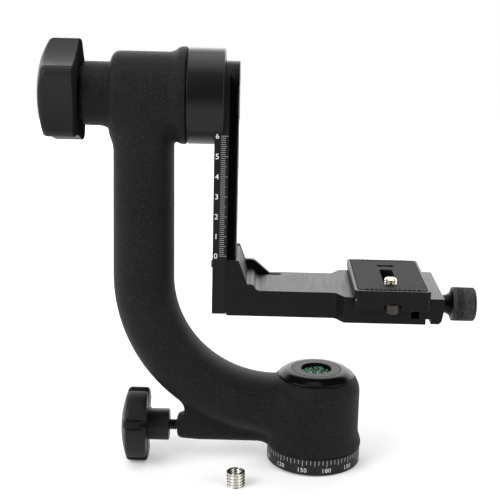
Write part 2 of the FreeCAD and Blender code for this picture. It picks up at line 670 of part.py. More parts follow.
def scalloped_wire(place):
    """Outline with five scallops: outer arcs, scallop arcs and a rounding between them."""
    rounding = LOCK_KNOB_EDGE
    reach = LOCK_KNOB_RADIUS - rounding
    span = LOCK_KNOB_SCALLOP + rounding
    middle = LOCK_KNOB_SCALLOP_OFFSET
    swing = math.acos((reach ** 2 + middle ** 2 - span ** 2) / (2 * reach * middle))
    edges = []
    for i in range(5):
        valley = math.radians(LOCK_KNOB_TURN + 72 * i)
        edges += scallop_edges(valley, swing, reach, place)
    return Part.Wire(Part.__sortEdges__(edges))


def scallop_edges(valley, swing, reach, place):
    """One scallop, its two roundings and the outer arc that follows it."""
    def polar(radius, angle, centre=(0, 0)):
        return centre[0] + radius * math.cos(angle), centre[1] + radius * math.sin(angle)

    def arc(points):
        return Part.Arc(*[place(*point) for point in points]).toShape()

    centre = polar(LOCK_KNOB_SCALLOP_OFFSET, valley)
    bottom = polar(LOCK_KNOB_SCALLOP_OFFSET - LOCK_KNOB_SCALLOP, valley)
    meets = []
    edges = []
    for side in (-1, 1):
        corner = polar(reach, valley + side * swing)
        away = math.atan2(corner[1] - centre[1], corner[0] - centre[0])
        inner = polar(LOCK_KNOB_SCALLOP, away, centre)
        outer = polar(LOCK_KNOB_RADIUS, valley + side * swing)
        middle = ((inner[0] + outer[0]) / 2 - corner[0], (inner[1] + outer[1]) / 2 - corner[1])
        crown = polar(LOCK_KNOB_EDGE, math.atan2(middle[1], middle[0]), corner)
        edges.append(arc((inner, crown, outer)))
        meets.append(inner)
    edges.append(arc((meets[0], bottom, meets[1])))
    rim = [polar(LOCK_KNOB_RADIUS, valley + a)
           for a in (swing, math.radians(36), math.radians(72) - swing)]
    edges.append(arc(rim))
    return edges


def pan_lock_knob():
    """Five-lobed moulded knob with a round hub."""
    face_x = LOCK_KNOB_HEAD_X - LOCK_KNOB_THICKNESS
    back_x = LOCK_KNOB_HEAD_X
    blank = LOCK_KNOB_RADIUS + 0.15
    dome, rim_x = dome_corner(face_x, blank, LOCK_KNOB_DOME_RADIUS, DOME_SLOPE)
    dish_x = back_x - LOCK_KNOB_DISH
    dish = LOCK_KNOB_RADIUS - LOCK_KNOB_RIM_WALL
    head = turned([(face_x, 0), dome, (rim_x, blank, 2.0), (back_x, blank, 1.6), (back_x, dish),
                   (dish_x, dish - 1), (dish_x, dish - 3), (back_x, LOCK_KNOB_HUB_RADIUS + 0.5),
                   (back_x, 0)], LOCK_CENTRE, X_AXIS)
    wire = scalloped_wire(lambda u, v: Vector(face_x - 1, -u, LOCK_HEIGHT + v))
    head = head.common(Part.Face(wire).extrude(X_AXIS * (LOCK_KNOB_THICKNESS + 1)))
    hub = turned([(back_x - 1, 0), (back_x - 1, LOCK_KNOB_HUB_RADIUS),
                  (LOCK_KNOB_X, LOCK_KNOB_HUB_RADIUS, 0.8), (LOCK_KNOB_X, 0)],
                 LOCK_CENTRE, X_AXIS)
    knob = grown_together([head, hub])
    return knob.cut(rod(LOCK_SCREW_RADIUS + SEAT, LOCK_KNOB_HEAD_X + 2.0 - 0.1, LOCK_KNOB_X + 1,
                        LOCK_CENTRE, X_AXIS))


# ---------------------------------------------------------------- tilt axis
def tilt_circlip():
    """Retaining ring in front of the right tilt bearing."""
    start = RIGHT_BEARING_X + BEARING_WIDTH
    return tube(BEARING_RADIUS, BEARING_RADIUS - CIRCLIP_WIDTH, start, start + CIRCLIP_THICKNESS,
                TILT_CENTRE, X_AXIS)


def tilt_friction_ring():
    """Thin ring between the arm's flange and the drum."""
    return tube(FLANGE_RADIUS - 1.5, BEARING_RADIUS + 1.0, FLANGE_X,
                FLANGE_X + FRICTION_RING_THICKNESS, TILT_CENTRE, X_AXIS)


def rail_outline(half_width):
    """Straight sides and a round top about the tilt axis, drawn in Y and Z."""
    crown = TILT_HEIGHT + half_width
    return [(-half_width, RAIL_BOTTOM), (half_width, RAIL_BOTTOM),
            (half_width, crown, half_width), (-half_width, crown, half_width)]


def rail_screw_places():
    """Places of the four rail screws about the tilt axis."""
    half = RAIL_SCREW_SPACING / 2
    return [Vector(0, y, TILT_HEIGHT + z) for y in (-half, half) for z in (-half, half)]


def tilt_drum():
    """Drum with a seat for the rail and a boss against the right bearing."""
    boss_x = RIGHT_BEARING_X + BEARING_WIDTH + TOUCH
    drum = turned([(boss_x, 0), (boss_x, DRUM_BOSS_RADIUS), (DRUM_X, DRUM_BOSS_RADIUS),
                   (DRUM_X, DRUM_RADIUS, 0.5), (DRUM_END_X, DRUM_RADIUS, 0.5), (DRUM_END_X, 0)],
                  TILT_CENTRE, X_AXIS)
    seat = prism(rail_outline(RAIL_HALF_WIDTH + SEAT), end_view(RAIL_X),
                 X_AXIS * (RAIL_SINK + 1))
    drum = drum.cut(seat)
    drum = drum.cut(rod(BEARING_BORE + SEAT, boss_x - 1, DRUM_END_X, TILT_CENTRE, X_AXIS))
    drum = drum.cut(rod(SPINDLE_HEAD_RADIUS + SEAT, RAIL_X - SPINDLE_HEAD_THICKNESS, DRUM_END_X,
                        TILT_CENTRE, X_AXIS))
    for place in rail_screw_places():
        drum = drum.cut(rod(RAIL_SCREW_RADIUS + SEAT, RAIL_X - RAIL_SCREW_REACH - 1, DRUM_END_X,
                            place, X_AXIS))
    return drum


def tilt_spindle():
    """Headed steel spindle from the drum through the stem to the tilt knob."""
    head_x = RAIL_X - SPINDLE_HEAD_THICKNESS
    thread_x = KNOB_X + 0.6
    tip_x = thread_x - TILT_THREAD_LENGTH
    return turned([(tip_x, 0), (tip_x, TILT_THREAD_RADIUS, 0.6), (thread_x, TILT_THREAD_RADIUS),
                   (thread_x, BEARING_BORE, 0.4), (head_x, BEARING_BORE),
                   (head_x, SPINDLE_HEAD_RADIUS), (RAIL_X - SEAT, SPINDLE_HEAD_RADIUS),
                   (RAIL_X - SEAT, 0)], TILT_CENTRE, X_AXIS)


def tilt_thrust_washer():
    """Washer between the knob and the end of the stem."""
    return tube(THRUST_RADIUS, BEARING_BORE + 0.25, STEM_X - TOUCH - THRUST_THICKNESS,
                STEM_X - TOUCH, TILT_CENTRE, X_AXIS)


def tilt_knob_insert():
    """Threaded brass insert of the tilt knob."""
    return tube(KNOB_INSERT_RADIUS, TILT_THREAD_RADIUS + RUN, KNOB_X - 0.3 - KNOB_INSERT_LENGTH,
                KNOB_X - 0.3, TILT_CENTRE, X_AXIS)


def tilt_lock_knob():
    """Large moulded knob: a rounded five-cornered form with hollow sides and a domed face."""
    face_x = KNOB_X - TILT_KNOB_THICKNESS
    dome, rim_x = dome_corner(face_x, TILT_KNOB_RADIUS, TILT_KNOB_DOME_RADIUS, DOME_SLOPE)
    blank = turned([(face_x, 0), dome, (rim_x, TILT_KNOB_RADIUS, 3.0),
                    (KNOB_X, TILT_KNOB_RADIUS, 2.6), (KNOB_X, 0)], TILT_CENTRE, X_AXIS)
    corner = TILT_KNOB_RADIUS + TILT_KNOB_CORNER * (1 / math.sin(math.radians(54)) - 1)
    turns = [math.radians(TILT_KNOB_TURN + 72 * i) for i in range(5)]
    points = [(corner * math.sin(a), TILT_HEIGHT + corner * math.cos(a), TILT_KNOB_CORNER)
              for a in turns]
    blank = blank.common(prism(points, end_view(face_x), X_AXIS * TILT_KNOB_THICKNESS))
    flat = corner * math.cos(math.radians(36))
    for angle in turns:
        out = flat - TILT_KNOB_HOLLOW + TILT_KNOB_HOLLOW_RADIUS
        side = angle + math.radians(36)
        across = Vector(0, math.sin(side), math.cos(side)) * out
        blank = blank.cut(rod(TILT_KNOB_HOLLOW_RADIUS, face_x - 1, KNOB_X + 1,
                              TILT_CENTRE + across, X_AXIS))
    return blank.cut(rod(KNOB_INSERT_RADIUS + SEAT, KNOB_X - 0.5 - KNOB_INSERT_LENGTH - 1.5,
                         KNOB_X + 1, TILT_CENTRE, X_AXIS))


# ---------------------------------------------------------------- height rail
def height_rail():
    """Dovetailed rail with a round head that seats in the drum."""
    rail = prism(rail_outline(RAIL_HALF_WIDTH), end_view(RAIL_X), X_AXIS * (RAIL_END_X - RAIL_X))
    far = RAIL_HALF_WIDTH + 1
    top = TILT_HEIGHT + RAIL_HALF_WIDTH + 1
    for side in (-1, 1):
        groove = [(RAIL_FACE_X, side * RAIL_NECK_HALF), (RAIL_LIP_X, side * RAIL_LIP_HALF),
                  (RAIL_END_X + 1, side * RAIL_LIP_HALF), (RAIL_END_X + 1, side * far),
                  (RAIL_FACE_X, side * far)]
        rail = rail.cut(prism(groove, plan_view(RAIL_BOTTOM - 1),
                              Z_AXIS * (top - RAIL_BOTTOM + 1)))
    for place in rail_screw_places():
        rail = rail.cut(rod(RAIL_SCREW_RADIUS + SEAT, RAIL_X - 1, RAIL_END_X + 1, place, X_AXIS))
        rail = rail.cut(rod(RAIL_SCREW_HEAD_RADIUS + SEAT, RAIL_END_X - RAIL_SCREW_HEAD_HEIGHT,
                            RAIL_END_X + 1, place, X_AXIS))
    return rail.cut(rod(STOP_RADIUS + SEAT, RAIL_X - 1, RAIL_END_X + 1,
                        Vector(0, 0, STOP_HEIGHT), X_AXIS))


def rail_screws():
    """Socket-head screws that hold the rail in the drum."""
    screws = []
    head_x = RAIL_END_X - RAIL_SCREW_HEAD_HEIGHT
    top_x = RAIL_END_X - 0.3
    for place in rail_screw_places():
        screw = turned([(RAIL_X - RAIL_SCREW_REACH, 0),
                        (RAIL_X - RAIL_SCREW_REACH, RAIL_SCREW_RADIUS),
                        (head_x, RAIL_SCREW_RADIUS), (head_x, RAIL_SCREW_HEAD_RADIUS),
                        (top_x, RAIL_SCREW_HEAD_RADIUS, 0.4), (top_x, 0)], place, X_AXIS)
        socket = [(p.x + place.y, p.y + place.z) for p in around(6, 1.7)]
        screws.append(screw.cut(prism(socket, end_view(top_x - 2.0), X_AXIS * 3)))
    return joined(screws)


def rail_stop_screw():
    """Button-head screw whose tip stops the cradle at the rail's lower end."""
    head_x = RAIL_X - STOP_HEAD_HEIGHT
    return turned([(head_x, 0), (head_x, STOP_HEAD_RADIUS, 0.9), (RAIL_X, STOP_HEAD_RADIUS),
                   (RAIL_X, STOP_RADIUS), (RAIL_END_X + STOP_TIP, STOP_RADIUS),
                   (RAIL_END_X + STOP_TIP, 0)], Vector(0, 0, STOP_HEIGHT), X_AXIS)


# ---------------------------------------------------------------- cradle
def leg_profile(y, foot_z):
    """Side outline of the bracket's leg and arm, drawn in X and Z."""
    left = RAIL_FACE_X + SLIP
    leg_right = RAIL_FACE_X + LEG_TOP_THICKNESS
    foot_x = RAIL_FACE_X + LEG_FOOT_THICKNESS
    arm_x = RAIL_FACE_X + ARM_START
    return prism([(left, CRADLE_BOTTOM, 1.2), (PLATFORM_X + 4, CRADLE_BOTTOM),
                  (PLATFORM_X + 4, CRADLE_TOP), (arm_x, CRADLE_TOP, 3.0),
                  (arm_x - 1.5, foot_z, 2.2), (foot_x, foot_z, 1.0),
                  (leg_right, LEG_TOP, 0.8), (left, LEG_TOP)], side_view(y),
                 Y_AXIS * (CRADLE_HALF_DEPTH - y))


def platform_block():
    """Clamp body, widened from the arm's depth through two soft shoulders."""
    narrow = CRADLE_HALF_DEPTH
    wide = PLATFORM_HALF_DEPTH
    start = PLATFORM_X - PLATFORM_SHOULDER
    points = [(start - 6, -narrow), (start, -narrow, 2.4), (PLATFORM_X, -wide, 1.2),
              (BODY_END_X, -wide, 0.6), (BODY_END_X, wide, 0.6), (PLATFORM_X, wide, 1.2),
              (start, narrow, 2.4), (start - 6, narrow)]
    return prism(points, plan_view(CRADLE_BOTTOM), Z_AXIS * (CRADLE_TOP - CRADLE_BOTTOM))


def far_cheek():
    """Raised arched cheek that the height lock pulls against the rail."""
    inner = CRADLE_HALF_DEPTH - CHEEK_THICKNESS
    crest = [(RAIL_FACE_X + SLIP, CRADLE_BOTTOM + 2), (RAIL_FACE_X + CHEEK_END, CRADLE_BOTTOM + 2),
             (RAIL_FACE_X + CHEEK_END, CRADLE_TOP),
             (RAIL_FACE_X + CHEEK_CREST_END, CHEEK_CREST, 5.0),
             (RAIL_FACE_X + CHEEK_CREST_START, CHEEK_CREST), (RAIL_FACE_X + 6, CHEEK_CREST)]
    return prism(crest, side_view(inner), Y_AXIS * CHEEK_THICKNESS)


def rail_channel():
    """Dovetail room for the rail's lip, with clearance all round."""
    neck = RAIL_NECK_HALF + SLIP
    lip = RAIL_LIP_HALF + SLIP
    left = RAIL_FACE_X - 1
    right = RAIL_END_X + SLIP
    points = [(left, -neck), (RAIL_FACE_X, -neck), (RAIL_LIP_X, -lip), (right, -lip),
              (right, lip), (RAIL_LIP_X, lip), (RAIL_FACE_X, neck), (left, neck)]
    return prism(points, plan_view(CRADLE_BOTTOM - 1), Z_AXIS * (LEG_TOP - CRADLE_BOTTOM + 2))


def plate_channel():
    """Dovetail channel for the camera plate, open towards the jaw and stepped for its tongue."""
    gap = SLIP
    left = PLATE_X - PLATE_HALF_WIDTH - gap
    neck = PLATE_X - PLATE_NECK_HALF - gap
    points = [(neck, CRADLE_TOP + 1), (neck, PLATE_NECK_Z), (left, PLATE_FLARE_Z),
              (left, PLATE_BOTTOM - gap), (PLATE_X + CHANNEL_STEP, PLATE_BOTTOM - gap),
              (PLATE_X + CHANNEL_STEP, CHANNEL_STEP_Z), (BODY_END_X + 1, CHANNEL_STEP_Z),
              (BODY_END_X + 1, CRADLE_TOP + 1)]
    depth = PLATFORM_HALF_DEPTH + 1
    return prism(points, side_view(-depth), Y_AXIS * (2 * depth))


def cradle_bracket():
    """L-shaped bracket: dovetailed leg, arm, slit cheek and the fixed half of the clamp."""
    near_foot = CRADLE_TOP + LEG_FOOT_HEIGHT
    body = grown_together([leg_profile(-CRADLE_HALF_DEPTH, near_foot), platform_block(),
                           far_cheek()])
    slit_y = CRADLE_HALF_DEPTH - CHEEK_THICKNESS - SLIT_WIDTH
    slit_end = RAIL_FACE_X + SLIT_LENGTH
    slit = prism([(RAIL_FACE_X - 1, slit_y), (slit_end, slit_y, SLIT_WIDTH / 2),
                  (slit_end, slit_y + SLIT_WIDTH, SLIT_WIDTH / 2),
                  (RAIL_FACE_X - 1, slit_y + SLIT_WIDTH)],
                 plan_view(CRADLE_BOTTOM - 1), Z_AXIS * (LEG_TOP - CRADLE_BOTTOM + 2))
    stop_top = STOP_HEIGHT + STOP_RADIUS + SLIP
    stop_groove = box((RAIL_END_X, -STOP_RADIUS - 0.3, CRADLE_BOTTOM - 1),
                      (RAIL_END_X + STOP_TIP + 0.3, STOP_RADIUS + 0.3, stop_top))
    screw_axis = Vector(HEIGHT_LOCK_X, 0, HEIGHT_LOCK_Z)
    body = body.cut(rail_channel()).cut(plate_channel()).cut(slit).cut(stop_groove)
    body = body.cut(rod(HEIGHT_SCREW_RADIUS + RUN, slit_y - HEIGHT_SCREW_REACH, slit_y + 1,
                        screw_axis, Y_AXIS))
    body = body.cut(rod(HEIGHT_SCREW_RADIUS + 0.4, slit_y, CRADLE_HALF_DEPTH + 1, screw_axis,
                        Y_AXIS))
    body = body.cut(clamp_screw_room()).cut(guide_pin_room(SEAT, PLATE_X + CHANNEL_STEP))
    return body


def clamp_screw_room():
    """Threaded bore for the clamp screw."""
    return rod(CLAMP_SCREW_RADIUS + RUN, JAW_END_X - CLAMP_SCREW_REACH - 4, JAW_END_X + 1,
               Vector(0, 0, CLAMP_SCREW_Z), X_AXIS)


def guide_pin_room(gap, end_x):
    """Bores for the two guide pins."""
    start = PLATE_X + CHANNEL_STEP - GUIDE_PIN_REACH
    rods = [rod(GUIDE_PIN_RADIUS + gap, start, end_x, Vector(0, side * GUIDE_PIN_SPACING / 2,
                                                            GUIDE_PIN_Z), X_AXIS)
            for side in (-1, 1)]
    return joined(rods)


def clamp_guide_pins():
    """Two pins in the clamp body that guide the jaw."""
    end = JAW_END_X - 3.0
    return guide_pin_room(0, end)


# ---------------------------------------------------------------- height lock
def flared_knob(radius, length, face, origin, axis):
    """Turned knob: slender neck that flares to a round grip with chamfered ends."""
    grip = face + KNOB_NECK_LENGTH
    flare = grip - KNOB_FLARE
    bevel = 0.7
    return turned([(face, 0), (face, KNOB_NECK_RADIUS), (flare, KNOB_NECK_RADIUS, KNOB_FLARE_ROUNDING),
                   (grip, radius - bevel), (grip + bevel, radius), (grip + length - bevel, radius),
                   (grip + length, radius - bevel), (grip + length, 0)], origin, axis)


def height_lock_washer():
    """Washer between the cheek and the height knob."""
    start = CRADLE_HALF_DEPTH + TOUCH
    return tube(HEIGHT_WASHER_RADIUS, HEIGHT_SCREW_RADIUS + 0.1, start,
                start + HEIGHT_WASHER_THICKNESS, Vector(HEIGHT_LOCK_X, 0, HEIGHT_LOCK_Z), Y_AXIS)


def height_lock_knob():
    """Knurled knob on the far side of the cradle."""
    face = CRADLE_HALF_DEPTH + HEIGHT_WASHER_THICKNESS + 2 * TOUCH
    origin = Vector(HEIGHT_LOCK_X, 0, HEIGHT_LOCK_Z)
    knob = flared_knob(HEIGHT_KNOB_RADIUS, HEIGHT_KNOB_LENGTH, face, origin, Y_AXIS)
    return knob.cut(rod(HEIGHT_SCREW_RADIUS + SEAT, face - 1, face + KNOB_NECK_LENGTH + 4, origin,
                        Y_AXIS))


def height_lock_screw():
    """Threaded stud of the height knob."""
    end = CRADLE_HALF_DEPTH + HEIGHT_WASHER_THICKNESS + 2 * TOUCH + KNOB_NECK_LENGTH + 3.8
    start = CRADLE_HALF_DEPTH - CHEEK_THICKNESS - SLIT_WIDTH - HEIGHT_SCREW_REACH + 2
    return turned([(start, 0), (start, HEIGHT_SCREW_RADIUS, 0.5), (end, HEIGHT_SCREW_RADIUS),
                   (end, 0)], Vector(HEIGHT_LOCK_X, 0, HEIGHT_LOCK_Z), Y_AXIS)


# ---------------------------------------------------------------- clamp jaw
def clamp_jaw():
    """Moving jaw: lip over the plate's dovetail, tongue under it and a tapered outer face."""
    gap = SLIP
    right = PLATE_X + PLATE_HALF_WIDTH + gap
    neck = PLATE_X + PLATE_NECK_HALF + gap
    tongue_top = PLATE_BOTTOM - JAW_TONGUE_DROP
    tongue_low = CHANNEL_STEP_Z + gap
    tongue_x = PLATE_X + JAW_TONGUE_START
    leg_x = PLATE_X + JAW_LEG_START
    lip_x = neck + PLATE_NECK_Z - CRADLE_TOP
    points = [(tongue_x, tongue_low), (leg_x, tongue_low), (leg_x, JAW_BOTTOM),
              (JAW_END_X - 2.4, JAW_BOTTOM), (JAW_END_X - 1.0, JAW_FOOT_Z),
              (JAW_END_X - 0.2, JAW_WAIST_Z), (JAW_END_X, CRADLE_TOP, 0.4),
              (lip_x, CRADLE_TOP), (right, PLATE_FLARE_Z),
              (right, tongue_top), (tongue_x, tongue_top)]
    depth = PLATFORM_HALF_DEPTH
    jaw = prism(points, side_view(-depth), Y_AXIS * (2 * depth))
    jaw = jaw.cut(rod(CLAMP_SCREW_RADIUS + 0.3, tongue_x - 1, JAW_END_X + 1,
                      Vector(0, 0, CLAMP_SCREW_Z), X_AXIS))
    return jaw.cut(guide_pin_room(RUN, JAW_END_X - 2.5))


def clamp_knob_washer():
    """Washer between the jaw and the clamp knob."""
    start = JAW_END_X
    return tube(CLAMP_WASHER_RADIUS, CLAMP_SCREW_RADIUS + 0.1, start,
                start + CLAMP_WASHER_THICKNESS, Vector(0, 0, CLAMP_SCREW_Z), X_AXIS)


def clamp_knob():
    """Knurled knob of the quick-release clamp."""
    face = JAW_END_X + CLAMP_WASHER_THICKNESS + TOUCH
    origin = Vector(0, 0, CLAMP_SCREW_Z)
    knob = flared_knob(CLAMP_KNOB_RADIUS, CLAMP_KNOB_LENGTH, face, origin, X_AXIS)
    return knob.cut(rod(CLAMP_SCREW_RADIUS + SEAT, face - 1, face + KNOB_NECK_LENGTH + 6, origin,
                        X_AXIS))


def clamp_screw():
    """Threaded stud of the clamp knob."""
    end = JAW_END_X + CLAMP_WASHER_THICKNESS + TOUCH + KNOB_NECK_LENGTH + 5.8
    start = JAW_END_X - CLAMP_SCREW_REACH
    return turned([(start, 0), (start, CLAMP_SCREW_RADIUS, 0.5), (end, CLAMP_SCREW_RADIUS),
                   (end, 0)], Vector(0, 0, CLAMP_SCREW_Z), X_AXIS)


# ---------------------------------------------------------------- camera plate
def slot_outline(half_width, margin, z):
    """Rounded slot round the camera screw's travel."""
    radius = min(half_width, 2.0)
    near = SLOT_NEAR - margin
    far = SLOT_FAR + margin
    return outline([(PLATE_X - half_width, near, radius), (PLATE_X + half_width, near, radius),
                    (PLATE_X + half_width, far, radius), (PLATE_X - half_width, far, radius)],
                   plan_view(z))


def slot_room(half_width, margin, low, high):
    """Room of the slot, or of the pocket under it, between two heights."""
    return Part.Face(slot_outline(half_width, margin, low)).extrude(Z_AXIS * (high - low))


def camera_plate():
    """Quick-release plate with a dovetail foot, a screw slot and a notch for its stop screw."""
    wide = PLATE_HALF_WIDTH
    foot = wide - PLATE_FOOT_CHAMFER
    right = [(foot, PLATE_BOTTOM), (wide, PLATE_FOOT_Z), (wide, PLATE_FLARE_Z),
             (PLATE_NECK_HALF, PLATE_NECK_Z), (wide, PLATE_SLAB_BOTTOM), (wide, PLATE_TOP, 0.4)]
    left = [(-point[0],) + point[1:] for point in reversed(right)]
    points = [(PLATE_X + point[0],) + point[1:] for point in right + left]
    length = PLATE_HALF_LENGTH
    plate = prism(points, side_view(-length), Y_AXIS * (2 * length))
    corners = [(PLATE_X + x * wide, y * length, 2.2) for x, y in ((-1, -1), (1, -1), (1, 1), (-1, 1))]
    plate = plate.common(prism(corners, plan_view(PLATE_BOTTOM - 1),
                               Z_AXIS * (PLATE_TOP - PLATE_BOTTOM + 2)))
    plate = plate.cut(slot_room(SLOT_HALF_WIDTH, 0, PLATE_BOTTOM, PLATE_TOP + 1))
    plate = plate.cut(slot_room(SLOT_POCKET_HALF, SLOT_POCKET_MARGIN, PLATE_BOTTOM - 1,
                                SLOT_POCKET_TOP))
    notch_back = -PLATFORM_HALF_DEPTH + 0.1
    plate = plate.cut(box((PLATE_X - PLATE_NOTCH_HALF, -length - 1, PLATE_BOTTOM - 1),
                          (PLATE_X + PLATE_NOTCH_HALF, notch_back, PLATE_NOTCH_TOP)))
    return plate.cut(rod(PLATE_STOP_RADIUS + SEAT, PLATE_NOTCH_TOP - 1,
                         PLATE_NOTCH_TOP + PLATE_STOP_REACH + 0.3,
                         Vector(PLATE_X, PLATE_STOP_Y, 0), Z_AXIS))


def plate_pad():
    """Rubber pad with notched short ends and a slot for the camera screw."""
    half_width = PLATE_HALF_WIDTH - PAD_MARGIN
    half_length = PLATE_HALF_LENGTH - PAD_MARGIN
    corners = [(PLATE_X + x * half_width, y * half_length, 1.4)
               for x, y in ((-1, -1), (1, -1), (1, 1), (-1, 1))]
    pad = prism(corners, plan_view(PLATE_TOP), Z_AXIS * PAD_THICKNESS)
    notches = int((2 * half_width - 4) / PAD_NOTCH_PITCH)
    for i in range(notches + 1):
        x = PLATE_X + (i - notches / 2) * PAD_NOTCH_PITCH
        for side in (-1, 1):
            pad = pad.cut(rod(PAD_NOTCH, PLATE_TOP - 1, PAD_TOP + 1,
                              Vector(x, side * half_length, 0), Z_AXIS))
    return pad.cut(slot_room(SLOT_HALF_WIDTH, 0, PLATE_TOP - 1, PAD_TOP + 1))


def plate_stop_screw():
    """Screw under the plate's near end that stops it against the clamp body."""
    shoulder = PLATE_NOTCH_TOP
    tip = shoulder + PLATE_STOP_REACH
    return turned([(PLATE_STOP_HEAD_BOTTOM, 0),
                   (PLATE_STOP_HEAD_BOTTOM, PLATE_STOP_HEAD_RADIUS, 0.6),
                   (shoulder, PLATE_STOP_HEAD_RADIUS), (shoulder, PLATE_STOP_RADIUS),
                   (tip, PLATE_STOP_RADIUS), (tip, 0)], Vector(PLATE_X, PLATE_STOP_Y, 0), Z_AXIS)


def camera_screw_washer():
    """Washer that carries the captive camera screw along the slot."""
    top = SLOT_POCKET_TOP - TOUCH
    return tube(CAMERA_SCREW_HEAD_RADIUS, CAMERA_SCREW_RADIUS + RUN,
                top - CAMERA_WASHER_THICKNESS, top, Vector(PLATE_X, CAMERA_SCREW_Y, 0), Z_AXIS)


def camera_screw():
    """Captive 1/4 inch camera screw with a slotted head."""
    head_top = SLOT_POCKET_TOP - CAMERA_WASHER_THICKNESS - 2 * TOUCH
    head_low = head_top - CAMERA_SCREW_HEAD_HEIGHT
    stud_top = PAD_TOP + CAMERA_SCREW_STUD
    neck = CAMERA_SCREW_NECK
    tip = 0.35
    place = Vector(PLATE_X, CAMERA_SCREW_Y, 0)
    screw = turned([(head_low, 0), (head_low, CAMERA_SCREW_HEAD_RADIUS - 0.2, 0.3),
                    (head_top, CAMERA_SCREW_HEAD_RADIUS - 0.2), (head_top, neck),
                    (PAD_TOP, neck), (PAD_TOP, CAMERA_SCREW_RADIUS),
                    (stud_top - tip, CAMERA_SCREW_RADIUS), (stud_top, CAMERA_SCREW_RADIUS - tip),
                    (stud_top, 0)], place, Z_AXIS)
    coin_slot = box((PLATE_X - 8, CAMERA_SCREW_Y - 0.8, head_low - 1),
                    (PLATE_X + 8, CAMERA_SCREW_Y + 0.8, head_low + 1.4))
    return screw.cut(coin_slot)


# ---------------------------------------------------------------- adapter
def thread_adapter():
    """Loose bush that takes a 1/4 inch screw in a 3/8 inch socket, standing on the floor."""
    place = Vector(ADAPTER_X, ADAPTER_Y, ADAPTER_BOTTOM)
    outer = SOCKET_RADIUS - RUN
    return turned([(0, ADAPTER_BORE), (0, outer - ADAPTER_CHAMFER), (ADAPTER_CHAMFER, outer),
                   (ADAPTER_HEIGHT - ADAPTER_CHAMFER, outer),
                   (ADAPTER_HEIGHT, outer - ADAPTER_CHAMFER), (ADAPTER_HEIGHT, ADAPTER_BORE)],
                  place, Z_AXIS)


# ---------------------------------------------------------------- the assembly
def all_parts():
    """Every sub-part by its node name."""
    origin = Vector()
    pan_gap_top = PAN_BEARING_HEIGHT + BEARING_WIDTH
    return {
        "base_plate": base_plate(),
        "base_screws": base_screws(),
        "pan_spindle": pan_spindle(),
        "pan_washer": pan_washer(),
        "pan_nut": pan_nut(),
        "pan_glide_ring": pan_glide_ring(),
        "arm_casting": arm_casting(),
        "pan_bearing_lower": bearing(PAN_BEARING_HEIGHT, origin, Z_AXIS),
        "pan_bearing_spacer": bearing_spacer(pan_gap_top, UPPER_PAN_BEARING, origin, Z_AXIS),
        "pan_bearing_upper": bearing(UPPER_PAN_BEARING, origin, Z_AXIS),
        "level_cap": level_cap(),
        "level_disc": level_disc(),
        "level_vial": level_vial(),
        "level_liquid": level_liquid(),
        "level_bubble": bubble_shape(0),
        "pan_lock_bush": pan_lock_bush(),
        "pan_brake_shoe": pan_brake_shoe(),
        "pan_lock_screw": pan_lock_screw(),
        "pan_lock_knob": pan_lock_knob(),
        "tilt_bearing_left": bearing(LEFT_BEARING_X, TILT_CENTRE, X_AXIS),
        "tilt_bearing_spacer": bearing_spacer(LEFT_BEARING_X + BEARING_WIDTH, RIGHT_BEARING_X,
                                              TILT_CENTRE, X_AXIS),
        "tilt_bearing_right": bearing(RIGHT_BEARING_X, TILT_CENTRE, X_AXIS),
        "tilt_circlip": tilt_circlip(),
        "tilt_friction_ring": tilt_friction_ring(),
        "tilt_drum": tilt_drum(),
        "tilt_spindle": tilt_spindle(),
        "tilt_thrust_washer": tilt_thrust_washer(),
        "tilt_knob_insert": tilt_knob_insert(),
        "tilt_lock_knob": tilt_lock_knob(),
        "height_rail": height_rail(),
        "rail_screws": rail_screws(),
        "rail_stop_screw": rail_stop_screw(),
        "cradle_bracket": cradle_bracket(),
        "clamp_guide_pins": clamp_guide_pins(),
        "height_lock_washer": height_lock_washer(),
        "height_lock_screw": height_lock_screw(),
        "height_lock_knob": height_lock_knob(),
        "clamp_jaw": clamp_jaw(),
        "clamp_knob_washer": clamp_knob_washer(),
        "clamp_screw": clamp_screw(),
        "clamp_knob": clamp_knob(),
        "camera_plate": camera_plate(),
        "plate_pad": plate_pad(),
        "plate_stop_screw": plate_stop_screw(),
        "camera_screw_washer": camera_screw_washer(),
        "camera_screw": camera_screw(),
        "thread_adapter": thread_adapter(),
    }


def write_parts():
    """Write one STEP file per sub-part."""
    os.makedirs("parts", exist_ok=True)
    for name, shape in all_parts().items():
        if not shape.isValid():
            raise ValueError(name + " is not a valid shape")
        if len(shape.Solids) == 1:
            shape = shape.Solids[0]
        shape.exportStep("parts/" + name + ".step")
        print(name, len(shape.Solids), "solids", round(shape.Volume, 1), "mm3")


write_parts()
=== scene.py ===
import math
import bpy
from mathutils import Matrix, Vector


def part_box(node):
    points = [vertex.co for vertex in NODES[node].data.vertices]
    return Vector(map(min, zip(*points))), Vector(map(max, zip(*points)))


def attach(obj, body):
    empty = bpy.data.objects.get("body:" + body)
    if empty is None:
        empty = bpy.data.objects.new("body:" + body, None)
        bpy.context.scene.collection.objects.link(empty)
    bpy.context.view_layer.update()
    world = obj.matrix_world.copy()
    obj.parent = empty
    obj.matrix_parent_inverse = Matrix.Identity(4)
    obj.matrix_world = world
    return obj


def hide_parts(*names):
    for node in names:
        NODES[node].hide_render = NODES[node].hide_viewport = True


bl_info = {
    "name": "Gimbal tripod head",
    "version": (1, 0, 0),
    "blender": (4, 5, 0),
    "location": "3D View > Sidebar > Gimbal head",
    "description": "Finishes, markings and turned details of a gimbal tripod head",
    "category": "Object",
}

import bmesh
import bpy
import numpy as np
from bpy.props import FloatProperty, FloatVectorProperty, IntProperty, PointerProperty
from mathutils import Matrix, Vector

